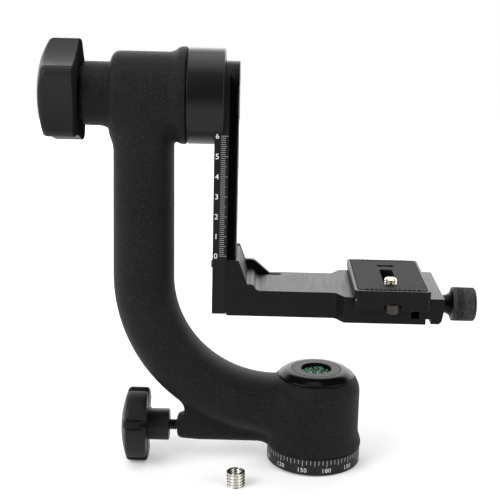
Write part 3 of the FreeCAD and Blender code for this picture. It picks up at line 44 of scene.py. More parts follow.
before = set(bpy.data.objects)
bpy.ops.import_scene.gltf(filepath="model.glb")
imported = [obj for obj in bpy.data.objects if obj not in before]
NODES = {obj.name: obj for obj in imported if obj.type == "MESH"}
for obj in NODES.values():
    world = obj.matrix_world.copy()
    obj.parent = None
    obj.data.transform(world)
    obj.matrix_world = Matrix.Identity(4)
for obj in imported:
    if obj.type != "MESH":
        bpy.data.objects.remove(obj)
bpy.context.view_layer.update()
MM = 0.001
ORIGIN = (0, 0, 0)
ALONG_X = (1, 0, 0)
ALONG_Z = (0, 0, 1)


# ---------------------------------------------------------------- places read from the frame
def node_box(name):
    """Lowest and highest corner of a CAD node, in millimetres."""
    low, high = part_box(name)
    return low / MM, high / MM


def node_middle(name):
    """Middle of a CAD node's box, in millimetres."""
    low, high = node_box(name)
    return (low + high) / 2


# ---------------------------------------------------------------- settings
def colour(name, description, default):
    """Property for a colour, as linear red, green and blue."""
    return FloatVectorProperty(
        name=name, description=description, default=default, subtype="COLOR", size=3,
        min=0.0, max=1.0)


def length(name, description, millimetres):
    """Property for a length; its default is given in millimetres."""
    return FloatProperty(
        name=name, description=description, default=millimetres * MM, min=0.0,
        subtype="DISTANCE", unit="LENGTH", precision=5)


def factor(name, description, default, high=1.0):
    """Property for a plain number."""
    return FloatProperty(
        name=name, description=description, default=default, min=0.0, max=high)


def power(name, description, watts):
    """Property for a lamp's power."""
    return FloatProperty(
        name=name, description=description, default=watts, min=0.0, unit="POWER")


class CoatingSettings(bpy.types.PropertyGroup):
    """Colours and textures of the black finishes."""
    arm: colour("Arm coating", "Colour of the grained coating on the arm",
                (0.0082, 0.0082, 0.0083))
    grain: length("Grain", "Size of the coating's grains", 0.55)
    blend: length("Casting blend", "Reach of the soft blends where the arm's forms meet", 9.0)
    voxel: length("Arm mesh", "Facet size of the arm's blended skin", 0.9)
    anodised: colour("Anodised", "Colour of the satin anodised parts", (0.0036, 0.0036, 0.0039))
    blasted: colour("Blasted anodised", "Colour of the matt anodised cradle and clamp",
                    (0.0068, 0.0068, 0.0071))
    rail: colour("Rail anodised", "Colour of the height rail", (0.0135, 0.0135, 0.0138))
    dial: colour("Dial anodised", "Colour of the base disc", (0.020, 0.020, 0.020))
    plastic: colour("Knob plastic", "Colour of the moulded knobs", (0.0105, 0.0103, 0.0115))
    rubber: colour("Pad rubber", "Colour of the plate's pad", (0.0085, 0.0085, 0.0087))
    marking: colour("Markings", "Colour of the numbers", (0.78, 0.78, 0.77))
    ticks: colour("Tick marks", "Colour of the ticks of scale and dial", (0.30, 0.30, 0.29))


class MetalSettings(bpy.types.PropertyGroup):
    """Colours of bright parts and of the level."""
    steel: colour("Steel", "Colour of bright steel", (0.58, 0.58, 0.57))
    nickel: colour("Nickel", "Colour of the nickel plating", (0.72, 0.69, 0.64))
    brass: colour("Brass", "Colour of brass inserts", (0.66, 0.47, 0.24))
    bronze: colour("Bronze", "Colour of the pan knob's stud", (0.085, 0.070, 0.055))
    copper: colour("Stop screw", "Colour of the plate's stop screw", (0.045, 0.038, 0.034))
    nylon: colour("Nylon", "Colour of washers and rings", (0.68, 0.67, 0.62))
    liquid: colour("Level liquid", "Colour of the level's liquid", (0.06, 0.22, 0.11))


class MarkingSettings(bpy.types.PropertyGroup):
    """Sizes of the scale and the dial."""
    scale_zero: length("Scale zero", "Height of the scale's zero mark", 114.0)
    tick_width: length("Tick width", "Width of the scale's ticks", 0.30)
    tick_short: length("Short tick", "Length of the millimetre ticks", 2.3)
    tick_middle: length("Middle tick", "Length of the half centimetre ticks", 2.9)
    tick_long: length("Long tick", "Length of the centimetre ticks", 3.4)
    digit: length("Digit height", "Height of the scale's digits", 2.7)
    dial_digit: length("Dial digit height", "Height of the dial's numbers", 2.3)
    dial_tick: length("Dial tick width", "Width of the dial's ticks", 0.42)
    dial_turn: FloatProperty(
        name="Dial turn", description="Where the dial's 180 stands, from -Y towards +X",
        default=math.radians(14.6), subtype="ANGLE", unit="ROTATION")


class TurnedSettings(bpy.types.PropertyGroup):
    """Sizes of knurls and threads."""
    knurl_pitch: length("Knurl pitch", "Distance between the knurl's rows", 1.25)
    knurl_depth: length("Knurl depth", "Depth of the knurl", 0.38)
    stud_pitch: length("Stud pitch", "Pitch of the pan knob's stud", 1.0)
    camera_pitch: length("Camera thread pitch", "Pitch of the camera screw", 1.27)
    bush_pitch: length("Bush thread pitch", "Pitch of the adapter's outer thread", 1.5875)
    lobes: IntProperty(name="Knob lobes", description="Lobes of both moulded knobs", default=5,
                       min=3, max=8)


class StageSettings(bpy.types.PropertyGroup):
    """Light, floor and camera."""
    floor: colour("Floor", "Colour of the floor", (0.86, 0.86, 0.86))
    floor_lift: factor("Floor lift", "Light that the floor adds for the camera", 0.20, 2.0)
    ambient: factor("Ambient", "Strength of the surrounding light", 0.30, 4.0)
    front_tone: factor("Front tone", "Brightness of the room on the camera's side", 0.05, 1.0)
    key: power("Key lamp", "Power of the upper left lamp", 10.0)
    fill: power("Fill lamp", "Power of the right lamp", 5.0)
    top: power("Top lamp", "Power of the overhead lamp", 5.0)
    back: power("Back lamp", "Power of the low lamp behind", 21.5)
    lens: FloatProperty(name="Lens", description="Focal length of the camera",
                        default=84.163 * MM, min=0.01, subtype="DISTANCE_CAMERA", unit="CAMERA")


def settings(group):
    """One group of settings from the scene."""
    return getattr(bpy.context.scene, "gimbal_" + group)


# ---------------------------------------------------------------- mesh building
def within(value, low=0.0):
    """Value held between low and 1."""
    return min(1.0, max(low, value))


def add_piece(name, mesh, body, look, node=None, smooth=True, sharp=30.0):
    """Link a mesh as a finished piece that rides on a body and may replace a CAD node.

    Edges above sharp degrees stay crisp.
    """
    piece = bpy.data.objects.new(name, mesh)
    bpy.context.scene.collection.objects.link(piece)
    for face in mesh.polygons:
        face.use_smooth = smooth
    mesh.set_sharp_from_angle(angle=math.radians(sharp))
    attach(piece, body)
    if node:
        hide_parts(node)
    dress(piece, look)
    return piece


def mesh_of(work, name):
    """Mesh of a finished bmesh, which is freed."""
    mesh = bpy.data.meshes.new(name)
    work.to_mesh(mesh)
    work.free()
    return mesh


def settled_mesh(piece):
    """Mesh of an object with its modifiers or its text worked out."""
    bpy.context.view_layer.update()
    graph = bpy.context.evaluated_depsgraph_get()
    return bpy.data.meshes.new_from_object(piece.evaluated_get(graph))


def mesh_from(name, points, faces):
    """Mesh from points in millimetres and faces, with normals made to face outwards."""
    mesh = bpy.data.meshes.new(name)
    mesh.from_pydata([tuple(c * MM for c in p) for p in points], [], faces)
    work = bmesh.new()
    work.from_mesh(mesh)
    bmesh.ops.remove_doubles(work, verts=work.verts, dist=1e-7)
    bmesh.ops.recalc_face_normals(work, faces=work.faces)
    work.to_mesh(mesh)
    work.free()
    mesh.update()
    return mesh


def rings_mesh(name, rings, closed=False):
    """Skin through rings of equal length, joined end to end or capped at both ends."""
    count = len(rings[0])
    points = [p for ring in rings for p in ring]
    faces = []
    for i in range(len(rings) if closed else len(rings) - 1):
        a = i * count
        b = (i + 1) % len(rings) * count
        for j in range(count):
            k = (j + 1) % count
            faces.append((a + j, a + k, b + k, b + j))
    if not closed:
        for start, ring in ((0, rings[0]), ((len(rings) - 1) * count, rings[-1])):
            points.append([sum(p[i] for p in ring) / count for i in range(3)])
            centre = len(points) - 1
            for j in range(count):
                faces.append((start + j, start + (j + 1) % count, centre))
    return mesh_from(name, points, faces)


def axis_frame(origin, axis):
    """Function that puts (distance along, radius, angle) in space round an axis."""
    along = Vector(axis)
    across = Vector((0, 0, 1)) if abs(along.z) < 0.5 else Vector((1, 0, 0))
    other = along.cross(across)
    base = Vector(origin)

    def place(distance, radius, angle):
        return (base + along * distance + across * (radius * math.cos(angle))
                + other * (radius * math.sin(angle)))
    return place


def turned_mesh(name, profile, origin, axis, columns=96, radius_of=None, closed=False):
    """Skin turned round an axis; radius_of(distance, radius, angle) may change the radius."""
    place = axis_frame(origin, axis)
    rings = []
    for distance, radius in profile:
        ring = []
        for j in range(columns):
            angle = 2 * math.pi * j / columns
            reach = radius_of(distance, radius, angle) if radius_of else radius
            ring.append(place(distance, reach, angle))
        rings.append(ring)
    return rings_mesh(name, rings, closed)


def rounded(points, steps=8):
    """Profile through (distance, radius) or (distance, radius, rounding), roundings as arcs."""
    path = []
    for i, point in enumerate(points):
        here = Vector(point[:2])
        rounding = point[2] if len(point) > 2 else 0
        if not rounding:
            path.append(here)
            continue
        before = (Vector(points[i - 1][:2]) - here).normalized()
        after = (Vector(points[i + 1][:2]) - here).normalized()
        half = before.angle(after) / 2
        centre = here + (before + after).normalized() * (rounding / math.sin(half))
        start = here + before * (rounding / math.tan(half)) - centre
        end = here + after * (rounding / math.tan(half)) - centre
        sweep = start.angle(end)
        for s in range(steps + 1):
            turn = sweep * s / steps
            path.append(centre + (start * math.sin(sweep - turn) + end * math.sin(turn))
                        / math.sin(sweep))
    return [(p.x, p.y) for p in path]


def subdivided(profile, step):
    """Profile with no span longer than step."""
    path = [profile[0]]
    for start, end in zip(profile, profile[1:]):
        span = math.dist(start, end)
        count = max(1, math.ceil(span / step))
        for i in range(1, count + 1):
            t = i / count
            path.append((start[0] + (end[0] - start[0]) * t, start[1] + (end[1] - start[1]) * t))
    return path


# ---------------------------------------------------------------- shader building
WHITE = (1.0, 1.0, 1.0, 1.0)


def rgba(value, gain=1.0):
    """Colour with alpha, brightened by gain."""
    return tuple(min(1.0, c * gain) for c in value) + (1.0,)


def grey(value):
    """Neutral colour with alpha."""
    return (value, value, value, 1.0)


class Shader:
    """Small helper that wires up one material, world or node group."""

    def __init__(self, tree):
        self.tree = tree

    def put(self, target, value):
        """Link a socket, or set a plain value."""
        if isinstance(value, bpy.types.NodeSocket):
            self.tree.links.new(value, target)
        else:
            target.default_value = value

    def node(self, kind, inputs=None, **values):
        """New node with its settings and with what goes into its inputs."""
        made = self.tree.nodes.new("ShaderNode" + kind)
        for key, value in values.items():
            setattr(made, key, value)
        for key, value in (inputs or {}).items():
            self.put(made.inputs[key], value)
        return made

    def math(self, operation, a, b):
        """Result of one sum of two values."""
        return self.node("Math", {0: a, 1: b}, operation=operation).outputs[0]

    def mix(self, share, a, b):
        """Colour that goes from a to b with the share."""
        return self.node("Mix", {"Factor": share, 6: a, 7: b}, data_type="RGBA").outputs[2]

    def between(self, value, low, high, out_low=0.0, out_high=1.0):
        """A range of a value stretched over another range, and held there."""
        return self.node("MapRange", {
            "Value": value, "From Min": low, "From Max": high, "To Min": out_low,
            "To Max": out_high}, clamp=True).outputs[0]

    def noise(self, vector, scale, detail=2.0, roughness=0.5):
        """Cloudy noise between 0 and 1."""
        return self.node("TexNoise", {
            "Vector": vector, "Scale": scale, "Detail": detail,
            "Roughness": roughness}).outputs["Fac"]

    def blend(self, a, b, share):
        """Sum of two heights, the second with what the first's share leaves."""
        return self.math("ADD", self.math("MULTIPLY", a, share),
                         self.math("MULTIPLY", b, round(1 - share, 2)))

    def dots(self, vector, scale, core, edge, share):
        """Round dots in a share of the pattern's cells."""
        cell = self.node("TexVoronoi", {"Vector": vector, "Scale": scale})
        dot = self.between(cell.outputs["Distance"], core, edge, 1.0, 0.0)
        pick = self.node("SeparateColor", {0: cell.outputs["Color"]})
        chosen = self.math("LESS_THAN", pick.outputs[0], share)
        return self.math("MULTIPLY", dot, chosen)


def shade_group(name, inputs, outputs):
    """New node group: its helper, what it is given and where its results go."""
    tree = bpy.data.node_groups.new(name, "ShaderNodeTree")
    new_socket = tree.interface.new_socket
    new_socket("Vector", in_out="INPUT", socket_type="NodeSocketVector")
    for label, default in inputs.items():
        kind = "NodeSocketVector" if isinstance(default, tuple) else "NodeSocketFloat"
        new_socket(label, in_out="INPUT", socket_type=kind).default_value = default
    for label in outputs:
        new_socket(label, in_out="OUTPUT", socket_type="NodeSocketFloat")
    given = tree.nodes.new("NodeGroupInput").outputs
    result = tree.nodes.new("NodeGroupOutput").inputs
    return Shader(tree), given, result


def build_grain_group():
    """Pebbled coating: height of the grains, sparse light specks and slow tone changes."""
    build, given, result = shade_group(
        "Coating grain", {"Grain": 0.0006, "Speck share": 0.05}, ("Height", "Specks", "Tone"))
    place = given["Vector"]
    scale = build.math("DIVIDE", 1.0, given["Grain"])
    fine = build.noise(place, scale, 3.0, 0.6)
    coarse = build.noise(place, build.math("MULTIPLY", scale, 0.42))
    build.put(result["Height"], build.blend(fine, coarse, 0.65))
    build.put(result["Specks"], build.dots(
        place, build.math("MULTIPLY", scale, 0.75), 0.12, 0.26, given["Speck share"]))
    build.put(result["Tone"], build.noise(place, 38.0))


def build_wear_group():
    """Lighter edges, partly wear and partly painted highlight: a mask where the surface turns
    within a short reach, broken up by noise.
    """
    build, given, result = shade_group("Edge wear and highlight", {"Amount": 0.5, "Reach": 0.0004}, ("Mask",))
    soft = build.node("Bevel", {"Radius": given["Reach"]}, samples=6)
    plain = build.node("NewGeometry").outputs["Normal"]
    turn = build.node("VectorMath", {0: soft.outputs[0], 1: plain}, operation="DOT_PRODUCT")
    edge = build.between(turn.outputs["Value"], 0.72, 0.97, 1.0, 0.0)
    patchy = build.between(build.noise(given["Vector"], 420.0, 3.0, 0.6), 0.3, 0.65)
    mask = build.math("MULTIPLY", edge, patchy)
    build.put(result["Mask"], build.math("MULTIPLY", mask, given["Amount"]))


def build_dust_group():
    """Fine dust: small pale specks that gather in patches."""
    build, given, result = shade_group("Fine dust", {"Amount": 0.5, "Scale": 1400.0}, ("Mask",))
    patch = build.between(build.noise(given["Vector"], 60.0), 0.4, 0.7, 0.0, 0.09)
    mask = build.dots(given["Vector"], given["Scale"], 0.05, 0.2, patch)
    build.put(result["Mask"], build.math("MULTIPLY", mask, given["Amount"]))


def build_tooling_group():
    """Marks of a cutter or of drawn stock: fine lines across one direction."""
    build, given, result = shade_group(
        "Tool marks", {"Lines": (1.0, 1.0, 1.0)}, ("Height", "Streaks"))
    scaled = build.node("VectorMath", {0: given["Vector"], 1: given["Lines"]},
                        operation="MULTIPLY")
    lines = build.noise(scaled.outputs[0], 1.0, 3.0, 0.55)
    grit = build.noise(given["Vector"], 5200.0, 1.0)
    build.put(result["Height"], build.blend(lines, grit, 0.7))
    build.put(result["Streaks"], lines)


GROUP_BUILDERS = (build_grain_group, build_wear_group, build_dust_group, build_tooling_group)


class Surface(Shader):
    """One material: plain values on its shader, and what varies over its surface."""

    def __init__(self, name, roughness, metallic=0.0, specular=0.5):
        self.material = bpy.data.materials.new(name)
        self.material.use_nodes = True
        super().__init__(self.material.node_tree)
        self.shader = self.tree.nodes["Principled BSDF"].inputs
        self.set("Roughness", roughness)
        self.set("Metallic", metallic)
        self.set("Specular IOR Level", specular)
        self.place = self.node("TexCoord").outputs["Object"]

    def set(self, name, value):
        """Give the shader a constant."""
        self.shader[name].default_value = value

    def cloud(self, scale, detail=2.0, roughness=0.5):
        """Noise over the surface."""
        return self.noise(self.place, scale, detail, roughness)

    def shared(self, group, values):
        """Outputs of a shared group, placed with this material's own values."""
        return self.node("Group", {"Vector": self.place, **values},
                         node_tree=bpy.data.node_groups[group]).outputs

    def spread(self, value, low=0.0, high=1.0):
        """The usual range of a noise, stretched between two values."""
        return self.between(value, 0.3, 0.7, low, high)

    def tones(self, share, base, low, high):
        """A colour that goes from one gain to another."""
        return self.mix(share, rgba(base, low), rgba(base, high))

    def rubbed(self, body, amount, reach, wear_and_highlight_tone):
        """A colour with lighter edges: partly worn, partly a painted highlight where the edges
        catch light.
        """
        wear_and_highlight = self.shared("Edge wear and highlight", {"Amount": amount, "Reach": reach})
        return self.mix(wear_and_highlight["Mask"], body, wear_and_highlight_tone)

    def dusted(self, body, amount, scale, pale=0.2):
        """A colour with fine pale dust."""
        dust = self.shared("Fine dust", {"Amount": amount, "Scale": scale})
        return self.mix(dust["Mask"], body, grey(pale))

    def done(self, body, roughness=None, height=None, distance=0.0, strength=0.5, edge=0.0):
        """The material with its colour, roughness and bump, all distances in metres.

        The bump lies over softened edges where edge is their radius.
        """
        self.put(self.shader["Base Color"], body)
        if roughness is not None:
            self.put(self.shader["Roughness"], roughness)
        if height is not None:
            values = {"Height": height, "Distance": distance, "Strength": strength}
            if edge:
                values["Normal"] = self.node("Bevel", {"Radius": edge}, samples=4).outputs[0]
            self.put(self.shader["Normal"], self.node("Bump", values).outputs[0])
        return self.material


def grained_coating():
    """Matt black coating with a pebbled grain and sparse light specks."""
    coat = settings("coating")
    made = Surface("Grained coating", 0.6, specular=0.08)
    grain = made.shared("Coating grain", {"Grain": coat.grain, "Speck share": 0.09})
    body = made.tones(made.spread(grain["Tone"]), coat.arm, 0.7, 1.15)
    hill = made.between(grain["Height"], 0.4, 0.72)
    body = made.mix(made.math("MULTIPLY", hill, 0.8), body, rgba(coat.arm, 2.9))
    body = made.mix(made.math("MULTIPLY", grain["Specks"], 0.6), body, grey(0.15))
    # Lighter edges: partly wear, partly painted highlight.
    body = made.rubbed(body, 0.3, 0.0006, rgba(coat.arm, 3.5))
    return made.done(body, made.spread(grain["Height"], 0.45, 0.68), grain["Height"],
                     0.00034, 0.9)


def moulded_plastic(name, specular, wear_and_highlight):
    """Moulded black plastic with a faint skin and a little dust."""
    plastic = settings("coating").plastic
    made = Surface(name, 0.3, specular=specular)
    body = made.tones(made.spread(made.cloud(45.0)), plastic, 0.85, 1.2)
    # Lighter edges: partly wear, partly painted highlight.
    body = made.rubbed(body, wear_and_highlight, 0.0005, rgba(plastic, 2.6))
    body = made.dusted(body, 0.8, 1300.0)
    skin = made.cloud(900.0)
    return made.done(body, made.spread(skin, 0.38, 0.50), skin, 0.00006, 0.5, 0.0002)


def anodised(name, base, lines, low, high, edge=0.0002, specular=0.1, wear_and_highlight=0.5, bump=0.6,
             wear_and_highlight_tone=0.11, shade=None):
    """Black anodised aluminium with fine tool marks, edges made lighter (partly wear, partly
    painted highlight) and a little dust.

    The roughness goes from low to high; shade is (X, X) in metres between which the colour
    falls off to black.
    """
    made = Surface(name, low, specular=specular)
    marks = made.shared("Tool marks", {"Lines": lines})
    body = made.tones(made.spread(marks["Streaks"]), base, 0.85, 1.2)
    if shade:
        parts = made.node("SeparateXYZ", {0: made.place})
        body = made.mix(made.between(parts.outputs["X"], *shade), body, rgba(base, 0.05))
    # Lighter edges: partly wear, partly painted highlight.
    body = made.rubbed(body, wear_and_highlight, max(edge * 1.5, 0.0002), grey(wear_and_highlight_tone))
    body = made.dusted(body, 0.5, 1700.0, 0.18)
    return made.done(body, made.spread(marks["Height"], low, high), marks["Height"], 0.00004,
                     bump, edge)


def bare_metal(name, base, roughness, metallic=1.0):
    """Bright metal with fine turning marks."""
    made = Surface(name, roughness, metallic)
    marks = made.shared("Tool marks", {"Lines": EVEN_LINES})
    body = made.tones(made.spread(marks["Streaks"]), base, 0.85, 1.08)
    shine = made.spread(marks["Height"], roughness * 0.8, roughness * 1.3)
    return made.done(body, shine, marks["Height"], 0.00003, 0.5, 0.00012)


def marking_paint(name, base):
    """Marking paint, slightly uneven."""
    made = Surface(name, 0.55, specular=0.2)
    return made.done(made.tones(made.spread(made.cloud(1600.0, 3.0, 0.6)), base, 0.8, 1.1))


def pad_rubber():
    """Matt rubber with a fine leathery grain."""
    made = Surface("Pad rubber", 0.6, specular=0.07)
    grain = made.shared("Coating grain", {"Grain": 0.00035, "Speck share": 0.01})
    body = made.tones(made.spread(grain["Tone"]), settings("coating").rubber, 0.8, 1.25)
    body = made.dusted(body, 0.5, 1500.0)
    return made.done(body, made.spread(grain["Height"], 0.55, 0.75), grain["Height"], 0.00012,
                     0.9, 0.0001)


def dead_black():
    """Deep black of the pad's arrow print, and painted shade in the slit and in the cap's gap."""
    made = Surface("Arrow print and painted shade", 0.9, specular=0.0)
    return made.done(made.mix(made.cloud(900.0), grey(0.002), grey(0.005)))


def nylon(name, base, specular=0.5):
    """Nylon of washers and rings."""
    made = Surface(name, 0.45, specular=specular)
    body = made.tones(made.spread(made.cloud(260.0)), base, 0.85, 1.0)
    return made.done(body, height=made.cloud(2600.0), distance=0.00003)


def clear_shell():
    """Clear moulded vial."""
    made = Surface("Clear vial", 0.08)
    made.set("Transmission Weight", 1.0)
    made.set("IOR", 1.025)
    return made.done((0.93, 0.97, 0.94, 1.0), height=made.cloud(500.0), distance=0.00002,
                     strength=0.3)


def level_fluid():
    """Green liquid of the level, darker in patches and paler in others; the pale patches are
    painted highlights.
    """
    made = Surface("Level liquid", 0.08)
    made.set("Transmission Weight", 0.6)
    made.set("IOR", 1.02)
    # Dark and pale patches; the pale ones are painted highlights in the liquid.
    patches = made.between(made.cloud(520.0, 3.0), 0.49, 0.57)
    return made.done(made.tones(patches, settings("metal").liquid, 0.04, 3.0))


def vial_ground():
    """Ground of dark and pale patches under the level's liquid."""
    made = Surface("Vial floor", 0.4)
    patches = made.between(made.cloud(620.0, 3.0), 0.49, 0.56)
    return made.done(made.mix(patches, (0.003, 0.016, 0.009, 1.0), (0.32, 0.36, 0.33, 1.0)))


def rail_shade():
    """Places in metres where the rail's front passes from its scale to its dark right strip."""
    left = node_box("height_rail")[0].x
    return (left + 6.5) * MM, (left + 10.0) * MM


EVEN_LINES = (2400.0, 2400.0, 2400.0)
KNURL_LOOK = {"low": 0.3, "high": 0.4, "edge": 0.0, "wear_and_highlight": 0.2, "bump": 0.2}


def make_finishes():
    """Every finish by its short name."""
    for builder in GROUP_BUILDERS:
        builder()
    coat = settings("coating")
    metal = settings("metal")
    return {
        "coating": grained_coating(),
        "plastic": moulded_plastic("Satin plastic", 0.17, 0.8),
        # Copy of the knob plastic with no reflection and no light edges: painted shade for the
        # knob's back.
        "shaded_back_plastic": moulded_plastic("Shaded back plastic", 0.0, 0.0),
        "anodised": anodised("Satin anodised", coat.anodised, (4200.0, 600.0, 600.0), 0.3, 0.4,
                             0.0003, specular=0.26, wear_and_highlight=0.15, bump=0.3),
        "knurled": anodised("Knurled anodised", coat.anodised, EVEN_LINES, specular=0.12,
                            **KNURL_LOOK),
        # Pale finish for the knurl's tips: a painted highlight for the light they catch.
        "knurl_tip_highlight": anodised("Knurl tip painted highlight", (0.28, 0.28, 0.29), EVEN_LINES, specular=0.3,
                               **KNURL_LOOK),
        "rail": anodised("Rail anodised", coat.rail, (2600.0, 2600.0, 90.0), 0.34, 0.46,
                         specular=0.05, shade=rail_shade()),
        "blasted": anodised("Matt anodised", coat.blasted, (1300.0, 60.0, 2600.0), 0.34, 0.46),
        # Strong lighter edges: a painted highlight along the rims of plate and jaw, with some
        # wear.
        "clamp": anodised("Clamp anodised", coat.blasted, (2200.0, 120.0, 2200.0), 0.32, 0.44,
                          wear_and_highlight=0.8, wear_and_highlight_tone=0.07),
        "dial": anodised("Dial anodised", coat.dial, (500.0, 500.0, 3600.0), 0.34, 0.46),
        "gloss": anodised("Gloss black", coat.anodised, EVEN_LINES, 0.10, 0.18, 0.0003,
                          specular=0.08, wear_and_highlight=0.15),
        "disc": anodised("Disc satin", coat.blasted, EVEN_LINES, 0.28, 0.36, 0.0001,
                         specular=0.05, wear_and_highlight=0.2),
        "steel": bare_metal("Bright steel", metal.steel, 0.24),
        "dark_steel": bare_metal("Black steel", (0.05, 0.05, 0.052), 0.34, 0.7),
        "nickel": bare_metal("Nickel plate", metal.nickel, 0.16),
        "brass": bare_metal("Turned brass", metal.brass, 0.28),
        "bronze": bare_metal("Dark bronze", metal.bronze, 0.3),
        "copper": bare_metal("Stop screw plating", metal.copper, 0.4, 0.6),
        "gilt": bare_metal("Warm nickel", (0.60, 0.54, 0.43), 0.2),
        "nylon": nylon("Nylon", metal.nylon),
        "black_nylon": nylon("Black nylon", (0.006, 0.006, 0.006), 0.05),
        "white": marking_paint("Number paint", coat.marking),
        "grey": marking_paint("Tick paint", coat.ticks),
        "rubber": pad_rubber(),
        # This black serves the arrow's print and the painted shade of the slit and the cap's gap.
        "arrow": dead_black(),
        "clear": clear_shell(),
        "fluid": level_fluid(),
        "vial_floor": vial_ground(),
    }


FINISHES = {}


def finish(name):
    """One finish, with all of them made at the first call."""
    if not FINISHES:
        FINISHES.update(make_finishes())
    return FINISHES[name]


def dress(piece, name):
    """Give an object one finish all over."""
    if not piece.data.materials:
        piece.data.materials.append(None)
    for i in range(len(piece.data.materials)):
        piece.data.materials[i] = finish(name)
    for holder in piece.material_slots:
        holder.material = finish(name)


def dress_nodes(finishes):
    """Give CAD nodes their finishes: names of nodes by the name of a finish."""
    for name, nodes in finishes.items():
        for node in nodes.split():
            dress(NODES[node], name)


# ---------------------------------------------------------------- the arm's blended casting
def polygon_distance(points, polygon):
    """Signed distance of 2D points to a closed polygon, negative inside."""
    best = np.full(len(points), 1e9)
    inside = np.zeros(len(points), bool)
    count = len(polygon)
    for i in range(count):
        a = np.array(polygon[i], float)
        b = np.array(polygon[(i + 1) % count], float)
        side = b - a
        away = points - a
        t = np.clip((away @ side) / max(side @ side, 1e-12), 0, 1)
        best = np.minimum(best, np.linalg.norm(away - t[:, None] * side, axis=1))
        crosses = (a[1] > points[:, 1]) != (b[1] > points[:, 1])
        height = np.where(crosses, points[:, 1] - a[1], 0.0)
        across = a[0] + height / (b[1] - a[1] if b[1] != a[1] else 1.0) * (b[0] - a[0])
        inside ^= crosses & (points[:, 0] < across)
    return np.where(inside, -best, best)


def oval_distance(u, v, half_u, half_v):
    """Distance to an oval tube's skin."""
    near = np.sqrt((u / half_u) ** 2 + (v / half_v) ** 2)
    slope = np.sqrt((u / half_u ** 2) ** 2 + (v / half_v ** 2) ** 2)
    return near * (near - 1) / np.maximum(slope, 1e-9)


def soft_union(a, b, reach):
    """Smooth union of two distances."""
    closeness = np.clip(reach - np.abs(a - b), 0, None) / reach
    return np.minimum(a, b) - closeness ** 2 * reach / 4


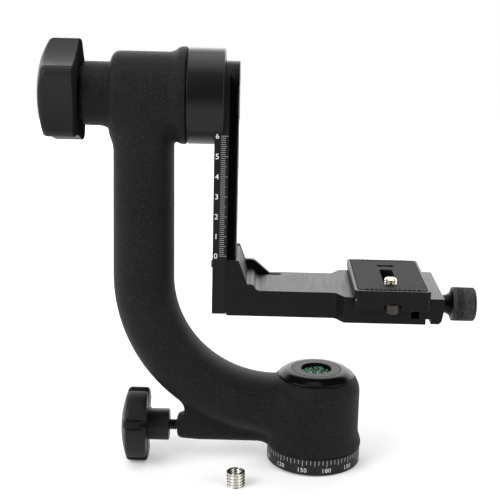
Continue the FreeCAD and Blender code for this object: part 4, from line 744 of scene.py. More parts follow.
class ArmForm:
    """The arm's basic forms in millimetres, set out from the nodes that it holds.

    Each form gives the distance of points from its skin, negative inside.
    """
    TUBE_HALF_WIDTH = 19.5
    TUBE_HALF_DEPTH = 14.8
    BEND_RADIUS = 68.5
    STEM_RADIUS = 15.75
    STEM_LENGTH = 14
    HOUSING_RADIUS = 21.2
    FLANGE_RADIUS = 24
    FOOT_RADIUS = 24.95
    HUB_RADIUS = 23.2
    POST_RADIUS = 7.6
    POST_END = -10.5

    def __init__(self):
        self.flange_x = node_box("tilt_friction_ring")[0].x
        self.tilt = node_middle("tilt_spindle").z
        self.lock_z = node_middle("pan_lock_screw").z
        self.boss_x = node_box("pan_lock_bush")[0].x - 0.4
        self.bottom = node_box("pan_glide_ring")[1].z
        self.hub_top = node_box("level_cap")[0].z + 3.2
        self.cap_radius = node_box("level_cap")[1].x
        stem_x = node_box("arm_casting")[0].x
        self.column_x = stem_x + 29.8
        self.bend_x = self.column_x + self.BEND_RADIUS
        self.level_z = self.hub_top - 15.65
        neck_x = stem_x + self.STEM_LENGTH
        self.head = rounded([
            (stem_x, 0), (stem_x, self.STEM_RADIUS, 0.8), (neck_x, self.STEM_RADIUS, 1.2),
            (neck_x, self.HOUSING_RADIUS, 4), (self.flange_x - 7.5, self.HOUSING_RADIUS, 5),
            (self.flange_x - 3.5, self.FLANGE_RADIUS, 4),
            (self.flange_x, self.FLANGE_RADIUS, 0.5), (self.flange_x, 0)], 5)
        self.hub = rounded([
            (self.bottom, 0), (self.bottom, self.FOOT_RADIUS, 0.4),
            (self.bottom + 1.5, self.FOOT_RADIUS, 1.5),
            (self.bottom + 7.1, self.HUB_RADIUS, 12),
            (self.hub_top - 3.5, self.HUB_RADIUS, 12), (self.hub_top, 20.4), (self.hub_top, 0)],
            6)
        self.post = rounded([
            (self.boss_x, 0), (self.boss_x, 6.9, 3.3), (self.boss_x + 11, self.POST_RADIUS, 20),
            (self.POST_END, self.POST_RADIUS), (self.POST_END, 0)], 5)

    def tube(self, p):
        """The oval section, level out of the hub, round the bend and up the column."""
        dx = p[:, 0] - self.bend_x
        dz = p[:, 2] - self.level_z - self.BEND_RADIUS
        bent = np.hypot(dx, dz) - self.BEND_RADIUS
        level = self.level_z - p[:, 2]
        upright = self.column_x - p[:, 0]
        u = np.where(dx > 0, level, np.where(dz > 0, upright, bent))
        share = np.clip(np.arctan2(-dx, -dz) / (math.pi / 2), 0, 1)
        rise = np.clip(dz / (self.tilt - self.level_z - self.BEND_RADIUS), 0, 1)
        half_u = self.TUBE_HALF_DEPTH + 0.75 * share - 0.5 * rise
        skin = oval_distance(u, p[:, 1], half_u, self.TUBE_HALF_WIDTH)
        return np.maximum(skin, np.maximum(p[:, 0], p[:, 2] - self.tilt))

    def housing(self, p):
        """The round housing of the tilt bearings with its stem and flange."""
        across = np.hypot(p[:, 1], p[:, 2] - self.tilt)
        return polygon_distance(np.stack([p[:, 0], across], 1), self.head)

    def hub_form(self, p):
        """The round hub over the base."""
        across = np.hypot(p[:, 0], p[:, 1])
        return polygon_distance(np.stack([p[:, 2], across], 1), self.hub)

    def boss(self, p):
        """The lock's round post and the web that ties it to the arm."""
        across = np.hypot(p[:, 1], p[:, 2] - self.lock_z)
        post = polygon_distance(np.stack([p[:, 0], across], 1), self.post)
        ends = np.maximum(self.boss_x + 4.3 - p[:, 0], p[:, 0] - self.POST_END)
        sides = np.maximum(np.abs(p[:, 1]) - 6.4,
                           np.maximum(self.lock_z - p[:, 2], p[:, 2] - self.level_z))
        return np.minimum(post, np.maximum(ends, sides))

    def plain(self, p):
        """The forms as they are, with sharp meetings."""
        return np.minimum(np.minimum(self.tube(p), self.housing(p)),
                          np.minimum(self.hub_form(p), self.boss(p)))

    def blended(self, p, reach):
        """The forms with soft blends: tight under the flange and at the crest, wide elsewhere."""
        left = np.clip((self.column_x + 8 - p[:, 0]) / 16, 0, 1)
        low = np.clip((self.hub_top - 3 - p[:, 2]) / 16, 0.03, 1)
        body = soft_union(self.tube(p), self.housing(p), reach * (0.3 + 0.55 * left))
        body = soft_union(body, self.hub_form(p), reach * 1.2 * low)
        return soft_union(body, self.boss(p), reach * 0.4)


# Only points this near the outer skin move, and only where the blend fills at least this much.
SKIN_REACH = 0.45
LEAST_BLEND = 0.02
# Step that measures a slope, and how often the points are moved.
PROBE = 0.05
ROUNDS = 6
# The flange's face stays flat above this height, and the hub's foot within this radius.
HIGH_UP = 150
OVER_BASE = 27.0


def blended_points(form, points, reach):
    """Points of the outer skin moved onto the blended form."""
    plain = form.plain(points)
    on_skin = np.abs(plain) < SKIN_REACH
    wanted = (on_skin & (form.blended(points, reach) < plain - LEAST_BLEND))[:, None]
    moved = points.copy()
    for _ in range(ROUNDS):
        value = form.blended(moved, reach)
        slope = np.stack([(form.blended(moved + PROBE * axis, reach) - value) / PROBE
                          for axis in np.eye(3)], 1)
        size = np.maximum(np.linalg.norm(slope, axis=1), 0.3)
        moved += np.where(wanted, -(value / size)[:, None] * slope / size[:, None], 0)
    across = np.hypot(points[:, 0], points[:, 1])
    kept = (across < form.cap_radius + 0.4) & (points[:, 2] > form.hub_top - 1.5)
    kept |= (points[:, 0] > form.flange_x - 0.6) & (points[:, 2] > HIGH_UP)
    moved[kept] = points[kept]
    over_base = np.hypot(moved[:, 0], moved[:, 1]) < OVER_BASE
    moved[:, 2] = np.where(over_base, np.maximum(moved[:, 2], form.bottom), moved[:, 2])
    return moved


def arm_skin():
    """Fine mesh of the casting with soft blends where its forms meet."""
    coat = settings("coating")
    skin = bpy.data.objects.new("arm_skin", NODES["arm_casting"].data.copy())
    bpy.context.scene.collection.objects.link(skin)
    remesh = skin.modifiers.new("Even facets", "REMESH")
    remesh.mode = "VOXEL"
    remesh.voxel_size = coat.voxel
    remesh.use_smooth_shade = True
    mesh = settled_mesh(skin)
    skin.modifiers.clear()
    skin.data = mesh
    flat = np.empty(len(mesh.vertices) * 3, np.float32)
    mesh.vertices.foreach_get("co", flat)
    points = flat.reshape(-1, 3).astype(float) / MM
    moved = blended_points(ArmForm(), points, coat.blend / MM)
    mesh.vertices.foreach_set("co", (moved * MM).astype(np.float32).ravel())
    mesh.update()
    for face in mesh.polygons:
        face.use_smooth = True
    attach(skin, "arm")
    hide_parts("arm_casting")
    return skin


# ---------------------------------------------------------------- moulded knobs
# Slope at which a knob's domed face goes on as a cone.
DOME_SLOPE = math.radians(20)


def cornered_outline(tip, corner, hollow, hollow_radius, lobes):
    """Polar outline with rounded corners and hollow sides, and the angle of its creases."""
    half = math.pi / lobes
    centre = tip - corner
    deep = (tip + corner * (1 / math.cos(half) - 1)) * math.cos(half) - hollow + hollow_radius

    def on_corner(off):
        return centre * math.cos(off) + math.sqrt(corner ** 2 - (centre * math.sin(off)) ** 2)

    def on_side(off):
        side = half - off
        across = deep * math.sin(side)
        return deep * math.cos(side) - math.sqrt(hollow_radius ** 2 - across ** 2)

    low = 0.0
    high = math.asin(corner / centre) * 0.9
    for _ in range(40):
        middle = (low + high) / 2
        if on_corner(middle) < on_side(middle):
            low = middle
        else:
            high = middle

    def radius(angle):
        off = abs((angle + half) % (2 * half) - half)
        return on_corner(off) if off < low else on_side(off)
    return radius, [low]


def scallop_outline(rim, scallop, offset, rounding, lobes):
    """Polar outline of a rim with scallops, and the angles where a scallop's edge starts."""
    half = math.pi / lobes
    reach = rim - rounding
    span = scallop + rounding
    swing = math.acos((reach ** 2 + offset ** 2 - span ** 2) / (2 * reach * offset))
    corner = Vector((reach * math.cos(swing), reach * math.sin(swing)))
    away = (Vector((offset, 0)) - corner).normalized()
    touch = corner + away * rounding
    limit = math.atan2(touch.y, touch.x)

    def radius(angle):
        off = (angle + half) % (2 * half) - half
        from_valley = half - abs(off)
        if from_valley < limit:
            inside = scallop ** 2 - (offset * math.sin(from_valley)) ** 2
            return offset * math.cos(from_valley) - math.sqrt(max(0.0, inside))
        if from_valley < swing:
            turn = swing - from_valley
            inside = rounding ** 2 - (reach * math.sin(turn)) ** 2
            return reach * math.cos(turn) + math.sqrt(max(0.0, inside))
        return rim
    return radius, [half - swing, half - limit]


def dome_drop(reach, dome):
    """Depth of a domed face at one radius; it goes on as a cone once it slopes enough."""
    turn = dome * math.sin(DOME_SLOPE)
    if reach < turn:
        return dome - math.sqrt(dome ** 2 - reach ** 2)
    return dome * (1 - math.cos(DOME_SLOPE)) + (reach - turn) * math.tan(DOME_SLOPE)


# Rows of faces over a knob's face, its front rounding and its back rounding.
FACE_ROWS = 14
FRONT_ROWS = 8
BACK_ROWS = 6


def knob_rows(reach, face_x, dome, front, back, back_x, inner_radii):
    """Section of a knob as (x, radius): domed face, rounded rims, then the back's rows."""
    slope = min(DOME_SLOPE, math.asin(reach / dome))
    start = reach - front * (1 - math.sin(slope))
    rows = []
    for i in range(FACE_ROWS):
        share = (i + 0.04) / FACE_ROWS
        rows.append((face_x + dome_drop(share * start, dome), share * start))
    middle = face_x + dome_drop(start, dome) + front * math.cos(slope)
    for i in range(FRONT_ROWS + 1):
        turn = slope + (math.pi / 2 - slope) * i / FRONT_ROWS
        rows.append((middle - front * math.cos(turn), reach - front * (1 - math.sin(turn))))
    end = back_x(reach - back) - back
    for i in range(1, BACK_ROWS):
        rows.append((middle + (end - middle) * i / BACK_ROWS, reach))
    for i in range(BACK_ROWS + 1):
        turn = math.pi / 2 * i / BACK_ROWS
        rows.append((end + back * math.sin(turn), reach - back * (1 - math.cos(turn))))
    for radius in inner_radii:
        inner = min(radius, reach - back)
        rows.append((back_x(inner), inner))
    return rows


def moulded_mesh(name, section, outline, creases, turn, centre):
    """Skin of a moulded knob; section(reach) gives the rows where the outline has that reach."""
    place = axis_frame(centre, ALONG_X)
    lobes = settings("turned").lobes
    half = math.pi / lobes
    marks = [-half] + [-c for c in reversed(creases)] + list(creases) + [half]
    columns = []
    for lobe in range(lobes):
        for low, high in zip(marks, marks[1:]):
            count = max(4, round((high - low) / math.radians(1.2)))
            for i in range(count):
                angle = 2 * half * lobe + low + (high - low) * i / count
                rows = section(outline(angle))
                columns.append([place(x, r, angle + turn) for x, r in rows])
    return rings_mesh(name, [list(ring) for ring in zip(*columns)])


class GIMBAL_OT_cast_arm(bpy.types.Operator):
    """Give the arm its blended casting skin and grained coating"""
    bl_idname = "gimbal.cast_arm"
    bl_label = "Cast arm"

    def execute(self, context):
        dress(arm_skin(), "coating")
        return {"FINISHED"}


class GIMBAL_OT_base(bpy.types.Operator):
    """Finish the base disc, its spindle and what is screwed to it"""
    bl_idname = "gimbal.base"
    bl_label = "Base and pan bearing"

    def execute(self, context):
        dress_nodes({
            "dial": "base_plate", "dark_steel": "base_screws", "nylon": "pan_glide_ring",
            "steel": "pan_spindle pan_washer pan_nut pan_bearing_lower pan_bearing_spacer "
                     "pan_bearing_upper"})
        return {"FINISHED"}


# ---------------------------------------------------------------- markings
# The marks' roots lie under the surface. The rail's ticks and digits are placed from its left
# edge, the dial's ticks from the disc's top and its numbers from its foot. A tick's length goes
# by the largest step that it falls on.
MARK_ROOT = -0.05
SCALE_LENGTH = 60
TICKS_LEFT = 3.3
DIGITS_MIDDLE = 1.55
DIAL_TICKS_DROP = 0.45
DIAL_NUMBERS_UP = 2.75
DIAL_TICKS = 72
DIAL_NUMBERS = 12
DIAL_REACHES = {6: 3.3, 3: 2.9, 1: 2.3}


def text_mesh(text, height, bold=0.0):
    """Flat outline of a text, its digits as high as asked, centred, in millimetres."""
    curve = bpy.data.curves.new("digits", "FONT")
    curve.body = text
    curve.size = 1.0
    curve.resolution_u = 5
    curve.space_character = 1.1
    curve.offset = bold
    holder = bpy.data.objects.new("digits", curve)
    bpy.context.scene.collection.objects.link(holder)
    mesh = settled_mesh(holder)
    points = [Vector(v.co) for v in mesh.vertices]
    faces = [tuple(face.vertices) for face in mesh.polygons]
    bpy.data.objects.remove(holder)
    bpy.data.curves.remove(curve)
    bpy.data.meshes.remove(mesh)
    across = [p.x for p in points]
    upward = [p.y for p in points]
    gain = height / (max(upward) - min(upward))
    middle_x = (min(across) + max(across)) / 2
    middle_y = (min(upward) + max(upward)) / 2
    return [((p.x - middle_x) * gain, (p.y - middle_y) * gain) for p in points], faces


def raised_marks(name, shapes, place, body, look, thickness=0.035):
    """Thin raised marks: each shape is (flat points, faces); place(u, v, w) puts them."""
    work = bmesh.new()
    for flat, faces in shapes:
        for lift, flip in ((MARK_ROOT, True), (thickness, False)):
            made = [work.verts.new(place(u, v, lift)) for u, v in flat]
            for face in faces:
                order = [made[i] for i in face]
                work.faces.new(list(reversed(order)) if flip else order)
    add_piece(name, mesh_of(work, name), body, look, smooth=False)


def tick_shape(left, right, middle, width):
    """Flat rectangle of one tick."""
    low = middle - width / 2
    high = middle + width / 2
    return [(left, low), (right, low), (right, high), (left, high)], [(0, 1, 2, 3)]


def moved_shape(shape, u, v):
    """A flat shape moved in its plane."""
    flat, faces = shape
    return [(a + u, b + v) for a, b in flat], faces


class GIMBAL_OT_scale(bpy.types.Operator):
    """Finish the rail and put its millimetre scale on the front edge"""
    bl_idname = "gimbal.scale"
    bl_label = "Rail and scale"

    def execute(self, context):
        mark = settings("marking")
        corner = node_box("height_rail")[0]
        left = corner.x + TICKS_LEFT
        zero = mark.scale_zero / MM
        reaches = {10: mark.tick_long, 5: mark.tick_middle, 1: mark.tick_short}
        ticks = []
        for i in range(SCALE_LENGTH + 1):
            reach = next(reaches[step] for step in reaches if i % step == 0)
            ticks.append(tick_shape(left, left + reach / MM, zero + i, mark.tick_width / MM))
        digits = [moved_shape(text_mesh(str(i), mark.digit / MM, bold=0.008),
                              corner.x + DIGITS_MIDDLE, zero + 10 * i)
                  for i in range(SCALE_LENGTH // 10 + 1)]

        def place(u, v, w):
            return Vector((u, corner.y - w, v)) * MM

        raised_marks("height_ticks", ticks, place, "tilt", "grey")
        raised_marks("height_digits", digits, place, "tilt", "white")
        dress_nodes({"rail": "height_rail", "dark_steel": "rail_screws rail_stop_screw"})
        return {"FINISHED"}


class GIMBAL_OT_dial(bpy.types.Operator):
    """Put the degree marks and numbers on the rim of the base disc"""
    bl_idname = "gimbal.dial"
    bl_label = "Dial"

    def execute(self, context):
        mark = settings("marking")
        low, high = node_box("base_plate")
        radius = (high.x - low.x) / 2
        top = high.z - DIAL_TICKS_DROP
        turn = mark.dial_turn
        ticks = []
        for i in range(DIAL_TICKS):
            reach = next(DIAL_REACHES[step] for step in DIAL_REACHES if i % step == 0)
            around = math.radians(360 / DIAL_TICKS * i) * radius
            flat, faces = tick_shape(top - reach, top, around, mark.dial_tick / MM)
            ticks.append(([(b, a) for a, b in flat], [tuple(reversed(f)) for f in faces]))
        step = 360 // DIAL_NUMBERS
        numbers = [moved_shape(text_mesh(str(180 - step * min(i, DIAL_NUMBERS - i)),
                                         mark.dial_digit / MM),
                               math.radians(step * i) * radius, DIAL_NUMBERS_UP)
                   for i in range(DIAL_NUMBERS)]

        def place(u, v, w):
            angle = u / radius + turn
            reach = radius + w
            return Vector((reach * math.sin(angle), -reach * math.cos(angle), v)) * MM

        raised_marks("dial_ticks", ticks, place, "base", "grey")
        raised_marks("dial_numbers", numbers, place, "base", "white")
        return {"FINISHED"}


# ---------------------------------------------------------------- knobs
def dull_back(piece, start_x):
    """Give the back of a knob, from one X onwards, a copy of its plastic without reflection:
    painted shade.
    """
    piece.data.materials.append(finish("shaded_back_plastic"))
    for face in piece.data.polygons:
        if face.center.x > start_x * MM and face.normal.x > 0.2:
            face.material_index = 1


class GIMBAL_OT_tilt_knob(bpy.types.Operator):
    """Mould the large tilt knob and finish the parts on its axis"""
    bl_idname = "gimbal.tilt_knob"
    bl_label = "Tilt knob"

    def execute(self, context):
        low, high = node_box("tilt_lock_knob")
        tilt = node_middle("tilt_spindle").z
        lobes = settings("turned").lobes
        span = 2 * math.pi / lobes
        outline, (crease,) = cornered_outline(tip=26.8, corner=5.0, hollow=1.54,
                                              hollow_radius=60.0, lobes=lobes)
        groove = math.radians(1.1)
        groove_depth = 0.5
        back_rounding = 1.5

        def grooved(angle):
            """The outline with a fine groove along each crease."""
            off = abs((angle + span / 2) % span - span / 2)
            return outline(angle) - groove_depth * max(0.0, 1 - abs(off - crease) / groove)

        def section(reach):
            return knob_rows(reach, low.x, dome=70.0, front=3.0, back=back_rounding,
                             back_x=lambda radius: high.x, inner_radii=(23, 18, 13, 8))

        mesh = moulded_mesh("tilt_grip", section, grooved,
                            [crease - groove, crease, crease + groove], math.radians(-11.8),
                            (0, 0, tilt))
        piece = add_piece("tilt_grip", mesh, "tilt_lock", "plastic",
                          "tilt_lock_knob", sharp=13)
        # The back, which faces away from the light, takes the painted shade copy of the plastic.
        dull_back(piece, high.x - back_rounding)
        dress_nodes({
            "brass": "tilt_knob_insert", "black_nylon": "tilt_thrust_washer tilt_friction_ring",
            "steel": "tilt_spindle tilt_bearing_left tilt_bearing_spacer tilt_bearing_right",
            "dark_steel": "tilt_circlip", "anodised": "tilt_drum"})
        return {"FINISHED"}


class GIMBAL_OT_pan_knob(bpy.types.Operator):
    """Mould the five-lobed pan lock knob and cut its screw's thread"""
    bl_idname = "gimbal.pan_knob"
    bl_label = "Pan lock knob"

    def execute(self, context):
        low, high = node_box("pan_lock_knob")
        screw_low, screw_high = node_box("pan_lock_screw")
        axis_z = (screw_low.z + screw_high.z) / 2
        head_x = low.x + 14.2
        rim = 19.4
        hub_radius = 8.35
        cone_radius = 8.85
        outline, creases = scallop_outline(rim, scallop=2.6, offset=18.4, rounding=1.0,
                                           lobes=settings("turned").lobes)

        def back_x(radius, reach):
            """The head's back: flat behind the lobes, a cone into the hub behind the scallops."""
            valley = within((rim - reach) / 3.6)
            return head_x - 4.0 * valley * within((radius - cone_radius) / 6.95)

        def section(reach):
            head = knob_rows(reach, low.x, dome=52.0, front=2.0, back=1.6,
                             back_x=lambda radius: back_x(radius, reach),
                             inner_radii=(17.2, 16.2, 14.2, 11.5, cone_radius))
            return head + rounded([(head_x, hub_radius), (high.x, hub_radius, 0.8),
                                   (high.x, 3.05), (high.x, 3.0)])

        mesh = moulded_mesh("pan_grip", section, outline, creases, math.radians(34.1),
                            (0, 0, axis_z))
        add_piece("pan_grip", mesh, "pan_lock", "plastic", "pan_lock_knob",
                  sharp=20)
        self.cut_stud(screw_low, screw_high, axis_z, (head_x + 10, high.x + 5))
        dress_nodes({"dark_steel": "pan_lock_bush", "nylon": "pan_brake_shoe"})
        return {"FINISHED"}

    def cut_stud(self, low, high, axis_z, threaded):
        """The knob's stud, threaded where it shows."""
        pitch = settings("turned").stud_pitch / MM
        radius = 3.0
        depth = 0.55

        def cut(distance, reach, angle):
            if reach < radius - 0.1 or not threaded[0] < distance < threaded[1]:
                return reach
            return reach - depth * thread_wave(distance, angle, pitch)

        profile = rounded([(low.x, 0.3), (low.x, radius, 0.3), (high.x, radius, 0.5),
                           (high.x, 0.3)])
        mesh = turned_mesh("pan_stud", subdivided(profile, 0.14), (0, 0, axis_z), ALONG_X, 48,
                           cut)
        add_piece("pan_stud", mesh, "pan_lock", "bronze", "pan_lock_screw")


def knurled_knob(name, node, body, profile, origin, axis, grip):
    """Turned knob with a diamond knurl over its grip; the knurl's tips are painted lighter as a
    highlight.
    """
    turned = settings("turned")
    pitch = turned.knurl_pitch / MM
    depth = turned.knurl_depth / MM
    radius = max(r for _, r in profile)
    teeth = round(2 * math.pi * radius / (pitch * 0.76))
    facets = 8
    runout = 0.3
    tip = 0.4

    def wave(value):
        return abs((value % 1.0) * 2 - 1)

    def cut(distance, reach, angle):
        if not grip[0] < distance < grip[1] or reach < radius - 0.05:
            return reach
        fade = min(1.0, (distance - grip[0]) / runout, (grip[1] - distance) / runout)
        turns = angle / (2 * math.pi) * teeth
        along = distance / pitch
        groove = max(wave(turns + along), wave(turns - along))
        return reach - depth * fade * max(0.0, (groove - tip) / (1 - tip))

    mesh = turned_mesh(name, subdivided(profile, pitch / facets), origin, axis, teeth * facets,
                       cut)
    add_piece(name, mesh, body, "knurled", node)
    # Faces on the knurl's tips take the pale finish, a painted highlight.
    mesh.materials.append(finish("knurl_tip_highlight"))
    start = Vector(origin)
    along = Vector(axis)
    for face in mesh.polygons:
        away = face.center / MM - start
        distance = away.dot(along)
        if grip[0] < distance < grip[1] and (away - along * distance).length > radius - 0.03:
            face.material_index = 1


# From a turned knob's face to the start of its grip.
FLARE_LENGTH = 6.4


def flared_profile(face, radius, end, bevel=1.0):
    """Profile of a knob with a slender neck that flares in a hollow curve to its grip."""
    bore, neck = 2.6, 4.55
    start = face + 1.6
    grip = face + FLARE_LENGTH
    curve = []
    for i in range(15):
        turn = i / 14 * math.pi / 2
        curve.append((start + (grip - start) * math.sin(turn),
                      neck + (radius - 0.3 - neck) * (1 - math.cos(turn))))
    return [(face, bore), (face, neck)] + curve + [
        (grip + 0.25, radius), (end - bevel, radius), (end - 0.15, radius - bevel * 0.8),
        (end, radius - bevel * 1.6)]


class GIMBAL_OT_clamp_knob(bpy.types.Operator):
    """Knurl the knob of the quick-release clamp and that of the height lock"""
    bl_idname = "gimbal.clamp_knob"
    bl_label = "Knurled knobs"

    def execute(self, context):
        low, high = node_box("clamp_knob")
        knurled_knob("clamp_grip", "clamp_knob", "jaw_knob",
                     flared_profile(low.x, (high.y - low.y) / 2, high.x),
                     (0, 0, (low.z + high.z) / 2), ALONG_X,
                     (low.x + FLARE_LENGTH + 0.3, high.x - 1.0))
        low, high = node_box("height_lock_knob")
        middle = (low + high) / 2
        knurled_knob("height_grip", "height_lock_knob", "height_lock",
                     flared_profile(low.y, (high.x - low.x) / 2, high.y),
                     (middle.x, 0, middle.z), (0, 1, 0),
                     (low.y + FLARE_LENGTH + 0.3, high.y - 1.0))
        dress_nodes({"steel": "clamp_screw clamp_knob_washer height_lock_screw",
                     "nylon": "height_lock_washer"})
        return {"FINISHED"}


# ---------------------------------------------------------------- cradle, clamp and plate
# Height of the bracket's platform, which the slit is cut into.
PLATFORM_TOP = 96.7


class GIMBAL_OT_cradle(bpy.types.Operator):
    """Finish the cradle bracket, the jaw and the clamp's pins"""
    bl_idname = "gimbal.cradle"
    bl_label = "Cradle and clamp"

    def execute(self, context):
        dress_nodes({
            "blasted": "cradle_bracket", "clamp": "clamp_jaw camera_plate",
            "steel": "clamp_guide_pins", "rubber": "plate_pad", "copper": "plate_stop_screw",
            "dark_steel": "camera_screw_washer"})
        # A dead-black sheet just under the platform inside the slit: painted shade, so the slit
        # reads black.
        face_x = node_box("height_rail")[1].x - 4.5
        left, right = face_x + 15, face_x + 27.4
        near, far = 12.05, 14.95
        corners = [(left, near), (right, near), (right, far), (left, far)]
        rings = [[(x, y, PLATFORM_TOP - drop) for x, y in corners] for drop in (0.4, 0.04)]
        add_piece("slit_shade_sheet", rings_mesh("slit_shade_sheet", rings), "cradle",
                  "arrow", smooth=False)
        return {"FINISHED"}


def arrow_shape(half_length, half_width, head, head_half):
    """Flat double-headed arrow along U."""
    shaft = half_length - head
    flat = [(-half_length, 0), (-shaft, -head_half), (-shaft, -half_width), (shaft, -half_width),
            (shaft, -head_half), (half_length, 0), (shaft, head_half), (shaft, half_width),
            (-shaft, half_width), (-shaft, head_half)]
    return flat, [(0, 1, 2, 8, 9), (2, 3, 7, 8), (3, 4, 5, 6, 7)]


def rounded_box(low, high, inset, corner, z, steps=5):
    """Ring of points round a box in plan, at one height, with rounded corners."""
    ring = []
    for i, (a, b) in enumerate(((1, 1), (-1, 1), (-1, -1), (1, -1))):
        x = (high.x if a > 0 else low.x) - a * (inset + corner)
        y = (high.y if b > 0 else low.y) - b * (inset + corner)
        for s in range(steps + 1):
            turn = math.pi / 2 * (i + s / steps)
            ring.append((x + corner * math.cos(turn), y + corner * math.sin(turn), z))
    return ring


class GIMBAL_OT_pad(bpy.types.Operator):
    """Raise the plate's lip round the pad, bead the pad's ends and print its arrow"""
    bl_idname = "gimbal.pad"
    bl_label = "Pad and lip"

    def execute(self, context):
        plate = node_box("camera_plate")
        pad = low, high = node_box("plate_pad")
        root = low.z - 0.3
        top = low.z + 0.6
        lip = rings_mesh("plate_lip", [
            rounded_box(*plate, 0.02, 2.2, root), rounded_box(*plate, 0.02, 2.2, top - 0.25),
            rounded_box(*plate, 0.2, 2.0, top), rounded_box(*pad, -0.5, 1.5, top),
            rounded_box(*pad, -0.4, 1.4, top - 0.1), rounded_box(*pad, -0.4, 1.4, root),
        ], closed=True)
        add_piece("plate_lip", lip, "plate", "clamp")
        middle = (low + high) / 2
        self.bead_ends(low, high, middle.x)
        arrow = arrow_shape(half_length=5.0, half_width=1.2, head=2.4, head_half=2.3)
        raised_marks("pad_arrow", [moved_shape(arrow, middle.x + 0.6, 16.5)],
                     lambda u, v, w: Vector((u, v, high.z + w)) * MM,
                     "plate", "arrow", thickness=0.05)
        return {"FINISHED"}

    def bead_ends(self, low, high, middle_x):
        """Rows of flat beads along both ends of the pad."""
        pitch = 2.3
        edge = 0.75
        size = Matrix.Diagonal((0.8 * MM, 0.7 * MM, 0.4 * MM, 1.0))
        count = int((high.x - low.x - 4) / pitch)
        work = bmesh.new()
        for i in range(count):
            x = middle_x + (i + 0.5 - count / 2) * pitch
            for y in (low.y + edge, high.y - edge):
                spot = Matrix.Translation(Vector((x, y, high.z - 0.05)) * MM)
                bmesh.ops.create_uvsphere(work, u_segments=16, v_segments=10, radius=1.0,
                                          matrix=spot @ size)
        work.verts.index_update()
        # The sphere tool gives its faces in another order each run, so they are sorted.
        faces = sorted([vert.index for vert in face.verts] for face in work.faces)
        beads = bpy.data.meshes.new("pad_beads")
        beads.from_pydata([vert.co for vert in work.verts], [], faces)
        work.free()
        add_piece("pad_beads", beads, "plate", "rubber")


def thread_wave(distance, angle, pitch):
    """Depth share of a V thread at one place, 0 on the crest and 1 in the root."""
    phase = (distance / pitch - angle / (2 * math.pi)) % 1.0
    return within(1.15 - abs(phase * 2 - 1) * 1.5)


class GIMBAL_OT_camera_screw(bpy.types.Operator):
    """Cut the camera screw's thread and shape its tip and head"""
    bl_idname = "gimbal.camera_screw"
    bl_label = "Camera screw"

    def execute(self, context):
        low, high = node_box("camera_screw")
        centre = (low + high) / 2
        pitch = settings("turned").camera_pitch / MM
        radius = 3.175
        depth = 0.62
        head = 5.3
        shoulder = low.z + 2.9

        def cut(distance, reach, angle):
            if distance < low.z + 3.0 or reach < radius - 0.2:
                return reach
            fade = within((high.z - 0.1 - distance) / 0.25)
            return reach - depth * fade * thread_wave(distance, angle, pitch)

        profile = rounded([(low.z, 0.4), (low.z, head, 0.3), (shoulder, head), (shoulder, 3.1),
                           (shoulder + 0.05, radius), (high.z - 0.5, radius),
                           (high.z, radius - 0.7, 0.1), (high.z, radius - 1.1),
                           (high.z - 0.25, radius - 1.3), (high.z - 0.25, 0.4)])
        mesh = turned_mesh("camera_stud_screw", subdivided(profile, 0.12),
                           (centre.x, centre.y, 0), ALONG_Z, 64, cut)
        add_piece("camera_stud_screw", mesh, "camera_stud", "gilt",
                  "camera_screw")
        return {"FINISHED"}


# ---------------------------------------------------------------- level and adapter
class GIMBAL_OT_level(bpy.types.Operator):
    """Finish the level cap, its disc, vial, liquid and bubble"""
    bl_idname = "gimbal.level"
    bl_label = "Level"

    def execute(self, context):
        dress_nodes({"gloss": "level_cap", "disc": "level_disc", "fluid": "level_liquid",
                     "clear": "level_vial level_bubble"})
        foot = node_box("level_vial")[0].z
        top, bottom = foot + 0.575, foot + 0.56
        inner, outer = 0.3, 7.1
        mesh = turned_mesh("vial_floor", [(top, inner), (top, outer), (bottom, outer),
                                          (bottom, inner)], ORIGIN, ALONG_Z, 48)
        add_piece("vial_floor", mesh, "arm", "vial_floor", smooth=False)
        # A dead-black ring across the gap round the level's disc: painted shade in the cap's gap.
        disc = node_box("level_disc")[1]
        top, bottom = disc.z + 0.02, disc.z - 0.1
        inner, outer = disc.x - 0.1, disc.x + 0.22
        mesh = turned_mesh("disc_gap_shade", [(bottom, inner), (top, inner), (top, outer),
                                        (bottom, outer)], ORIGIN, ALONG_Z, 96, closed=True)
        add_piece("disc_gap_shade", mesh, "arm", "arrow", smooth=False)
        return {"FINISHED"}


def floor_slope():
    """Slope and zero place of the floor that carries the base's edge and the pan knob."""
    edge = node_box("base_plate")[1].x
    knob = min((v.co for v in NODES["pan_lock_knob"].data.vertices), key=lambda co: co.z) / MM
    return -knob.z / (edge - knob.x), edge


def floor_height(x):
    """Height of the leaning floor at one X, in millimetres."""
    slope, zero = floor_slope()
    return slope * (x - zero)


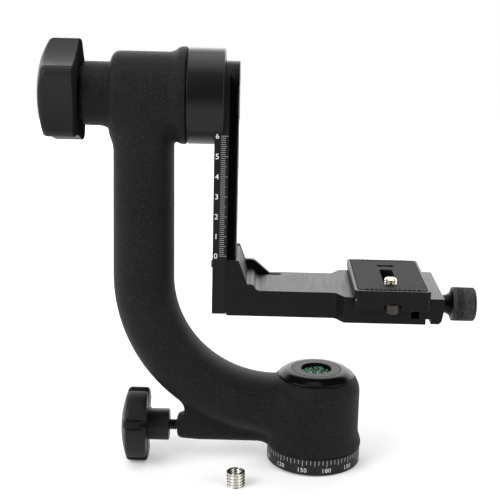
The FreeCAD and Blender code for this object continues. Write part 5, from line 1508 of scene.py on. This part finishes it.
class GIMBAL_OT_adapter(bpy.types.Operator):
    """Cut the loose adapter's threads and stand it on the floor"""
    bl_idname = "gimbal.adapter"
    bl_label = "Thread adapter"

    def execute(self, context):
        low, high = node_box("thread_adapter")
        centre = (low + high) / 2
        turned = settings("turned")
        outer_pitch = turned.bush_pitch / MM
        inner_pitch = turned.camera_pitch / MM
        outer = (high.y - low.y) / 2
        inner = 3.3
        chamfer = 0.8
        height = high.z - low.z - 1.0

        def cut(distance, reach, angle):
            if reach > outer - 0.1:
                fade = within(min(distance, height - distance) / 0.9, 0.35)
                return reach - 0.78 * fade * thread_wave(distance, angle, outer_pitch)
            if reach < inner + 0.1:
                return reach - 0.5 * (1 - thread_wave(distance, angle, inner_pitch))
            return reach

        profile = [(0.0, inner + 0.3), (0.0, outer - chamfer), (0.35, outer),
                   (height - 0.35, outer), (height, outer - chamfer), (height, inner + 0.3),
                   (height - 0.3, inner), (0.3, inner)]
        loop = subdivided(profile + profile[:1], 0.16)[:-1]
        mesh = turned_mesh("adapter_bush", loop, ORIGIN, ALONG_Z, 80, cut, closed=True)
        lean = Matrix.Rotation(-math.atan(floor_slope()[0]), 4, "Y")
        foot = Vector((centre.x, centre.y, floor_height(centre.x) + 0.02)) * MM
        mesh.transform(Matrix.Translation(foot) @ lean)
        add_piece("adapter_bush", mesh, "adapter", "nickel", "thread_adapter")
        return {"FINISHED"}


# ---------------------------------------------------------------- stage
# Places and spans in millimetres, but the lamps' in metres; angles in radians.
LAMP_AIM = (-0.03, 0.0, 0.11)
CAMERA_PLACE = (-32.974, -577.358, 264.117)
CAMERA_YAW = -0.005544
CAMERA_PITCH = 0.25609
CAMERA_ROLL = 0.023835
FLOOR_SPAN = 1250.0
FLOOR_DROP = 0.02


def backdrop_world():
    """White room for the camera and for reflections, plain dim light for the rest."""
    stage = settings("stage")
    world = bpy.data.worlds.new("Studio")
    bpy.context.scene.world = world
    world.use_nodes = True
    world.node_tree.nodes.clear()
    build = Shader(world.node_tree)
    path = build.node("LightPath").outputs
    parts = build.node("SeparateXYZ", {0: build.node("TexCoord").outputs["Generated"]})
    ahead = build.between(parts.outputs["Y"], -0.5, 0.35, stage.front_tone, 1.0)
    clear = build.math("MAXIMUM", path["Is Camera Ray"], path["Is Transmission Ray"])
    shown = build.math("MAXIMUM", clear, path["Is Glossy Ray"])
    room = build.node("Background", {"Color": WHITE,
                                     "Strength": build.math("MAXIMUM", ahead, clear)})
    dim = build.node("Background", {"Color": WHITE, "Strength": stage.ambient})
    both = build.node("MixShader", {0: shown, 1: dim.outputs[0], 2: room.outputs[0]})
    build.node("OutputWorld", {"Surface": both.outputs[0]})


def floor_material():
    """Pale floor that keeps the shadow and reads white round it."""
    stage = settings("stage")
    made = bpy.data.materials.new("Floor")
    made.use_nodes = True
    made.node_tree.nodes.clear()
    build = Shader(made.node_tree)
    diffuse = build.node("BsdfDiffuse", {"Color": rgba(stage.floor)})
    path = build.node("LightPath").outputs
    seen = build.math("MAXIMUM", path["Is Camera Ray"], path["Is Glossy Ray"])
    glow = build.node("Emission", {"Color": WHITE,
                                   "Strength": build.math("MULTIPLY", seen, stage.floor_lift)})
    total = build.node("AddShader", {0: diffuse.outputs[0], 1: glow.outputs[0]})
    build.node("OutputMaterial", {"Surface": total.outputs[0]})
    return made


def area_lamp(name, power, size, place):
    """Soft lamp of a width and a height, aimed at the head, places in metres."""
    lamp = bpy.data.lights.new(name, "AREA")
    lamp.shape = "RECTANGLE"
    lamp.size, lamp.size_y = size
    lamp.energy = power
    holder = bpy.data.objects.new(name, lamp)
    bpy.context.scene.collection.objects.link(holder)
    holder.location = place
    holder.rotation_mode = "QUATERNION"
    holder.rotation_quaternion = (Vector(LAMP_AIM) - Vector(place)).to_track_quat("-Z", "Y")


def make_camera():
    """Camera with a plain lens, level but for a slight roll."""
    camera = bpy.data.cameras.new("Camera")
    camera.sensor_width = 36.0
    camera.lens = settings("stage").lens / MM
    camera.clip_start = 0.01
    camera.clip_end = 20.0
    holder = bpy.data.objects.new("Camera", camera)
    bpy.context.scene.collection.objects.link(holder)
    reach = math.cos(CAMERA_PITCH)
    ahead = Vector((math.sin(CAMERA_YAW) * reach, math.cos(CAMERA_YAW) * reach,
                    -math.sin(CAMERA_PITCH)))
    right = Vector((math.cos(CAMERA_YAW), -math.sin(CAMERA_YAW), 0))
    up = right.cross(ahead)
    rolled_right = right * math.cos(CAMERA_ROLL) + up * math.sin(CAMERA_ROLL)
    rolled_up = up * math.cos(CAMERA_ROLL) - right * math.sin(CAMERA_ROLL)
    turn = Matrix((rolled_right, rolled_up, -ahead)).transposed()
    holder.matrix_world = Matrix.Translation(Vector(CAMERA_PLACE) * MM) @ turn.to_4x4()
    bpy.context.scene.camera = holder


class GIMBAL_OT_stage(bpy.types.Operator):
    """Set up the floor, the room, the lamps and the camera"""
    bl_idname = "gimbal.stage"
    bl_label = "Stage"

    def execute(self, context):
        stage = settings("stage")
        span = FLOOR_SPAN
        points = [(x * MM, y * MM, (floor_height(x) - FLOOR_DROP) * MM)
                  for x, y in ((-span, -span), (span, -span), (span, span), (-span, span))]
        floor = bpy.data.meshes.new("floor")
        floor.from_pydata(points, [], [(0, 1, 2, 3)])
        holder = bpy.data.objects.new("floor", floor)
        context.scene.collection.objects.link(holder)
        floor.materials.append(floor_material())
        backdrop_world()
        area_lamp("Key", stage.key, (0.8, 0.8), (-0.8, -0.55, 0.75))
        area_lamp("Fill", stage.fill, (0.8, 0.8), (0.85, -0.6, 0.5))
        area_lamp("Top", stage.top, (0.9, 0.9), (0.0, 0.1, 1.1))
        area_lamp("Back", stage.back, (2.4, 1.0), (0.0, 1.35, 0.6))
        make_camera()
        context.scene.view_settings.view_transform = "Standard"
        return {"FINISHED"}


class GIMBAL_PT_panel(bpy.types.Panel):
    """Buttons and settings of the gimbal head"""
    bl_label = "Gimbal head"
    bl_idname = "GIMBAL_PT_panel"
    bl_space_type = "VIEW_3D"
    bl_region_type = "UI"
    bl_category = "Gimbal head"

    def draw(self, context):
        layout = self.layout
        for operator in OPERATORS:
            layout.operator(operator.bl_idname, text=operator.bl_label)
        for name, group in GROUPS.items():
            box = layout.box()
            box.label(text=name.capitalize())
            for key in group.__annotations__:
                box.prop(getattr(context.scene, "gimbal_" + name), key)


GROUPS = {
    "coating": CoatingSettings, "metal": MetalSettings, "marking": MarkingSettings,
    "turned": TurnedSettings, "stage": StageSettings,
}
OPERATORS = (
    GIMBAL_OT_cast_arm, GIMBAL_OT_base, GIMBAL_OT_dial, GIMBAL_OT_scale, GIMBAL_OT_level,
    GIMBAL_OT_pan_knob, GIMBAL_OT_tilt_knob, GIMBAL_OT_cradle, GIMBAL_OT_clamp_knob,
    GIMBAL_OT_pad, GIMBAL_OT_camera_screw, GIMBAL_OT_adapter, GIMBAL_OT_stage,
)


def register():
    """Register the settings, the operators and the panel."""
    for name, group in GROUPS.items():
        bpy.utils.register_class(group)
        setattr(bpy.types.Scene, "gimbal_" + name, PointerProperty(type=group))
    for operator in OPERATORS:
        bpy.utils.register_class(operator)
    bpy.utils.register_class(GIMBAL_PT_panel)


def unregister():
    """Take everything back out."""
    bpy.utils.unregister_class(GIMBAL_PT_panel)
    for operator in reversed(OPERATORS):
        bpy.utils.unregister_class(operator)
    for name, group in GROUPS.items():
        delattr(bpy.types.Scene, "gimbal_" + name)
        bpy.utils.unregister_class(group)


def main():
    """Register the add-on and run its operators in order."""
    register()
    for operator in OPERATORS:
        group, name = operator.bl_idname.split(".")
        getattr(getattr(bpy.ops, group), name)()


if __name__ == "__main__":
    main()
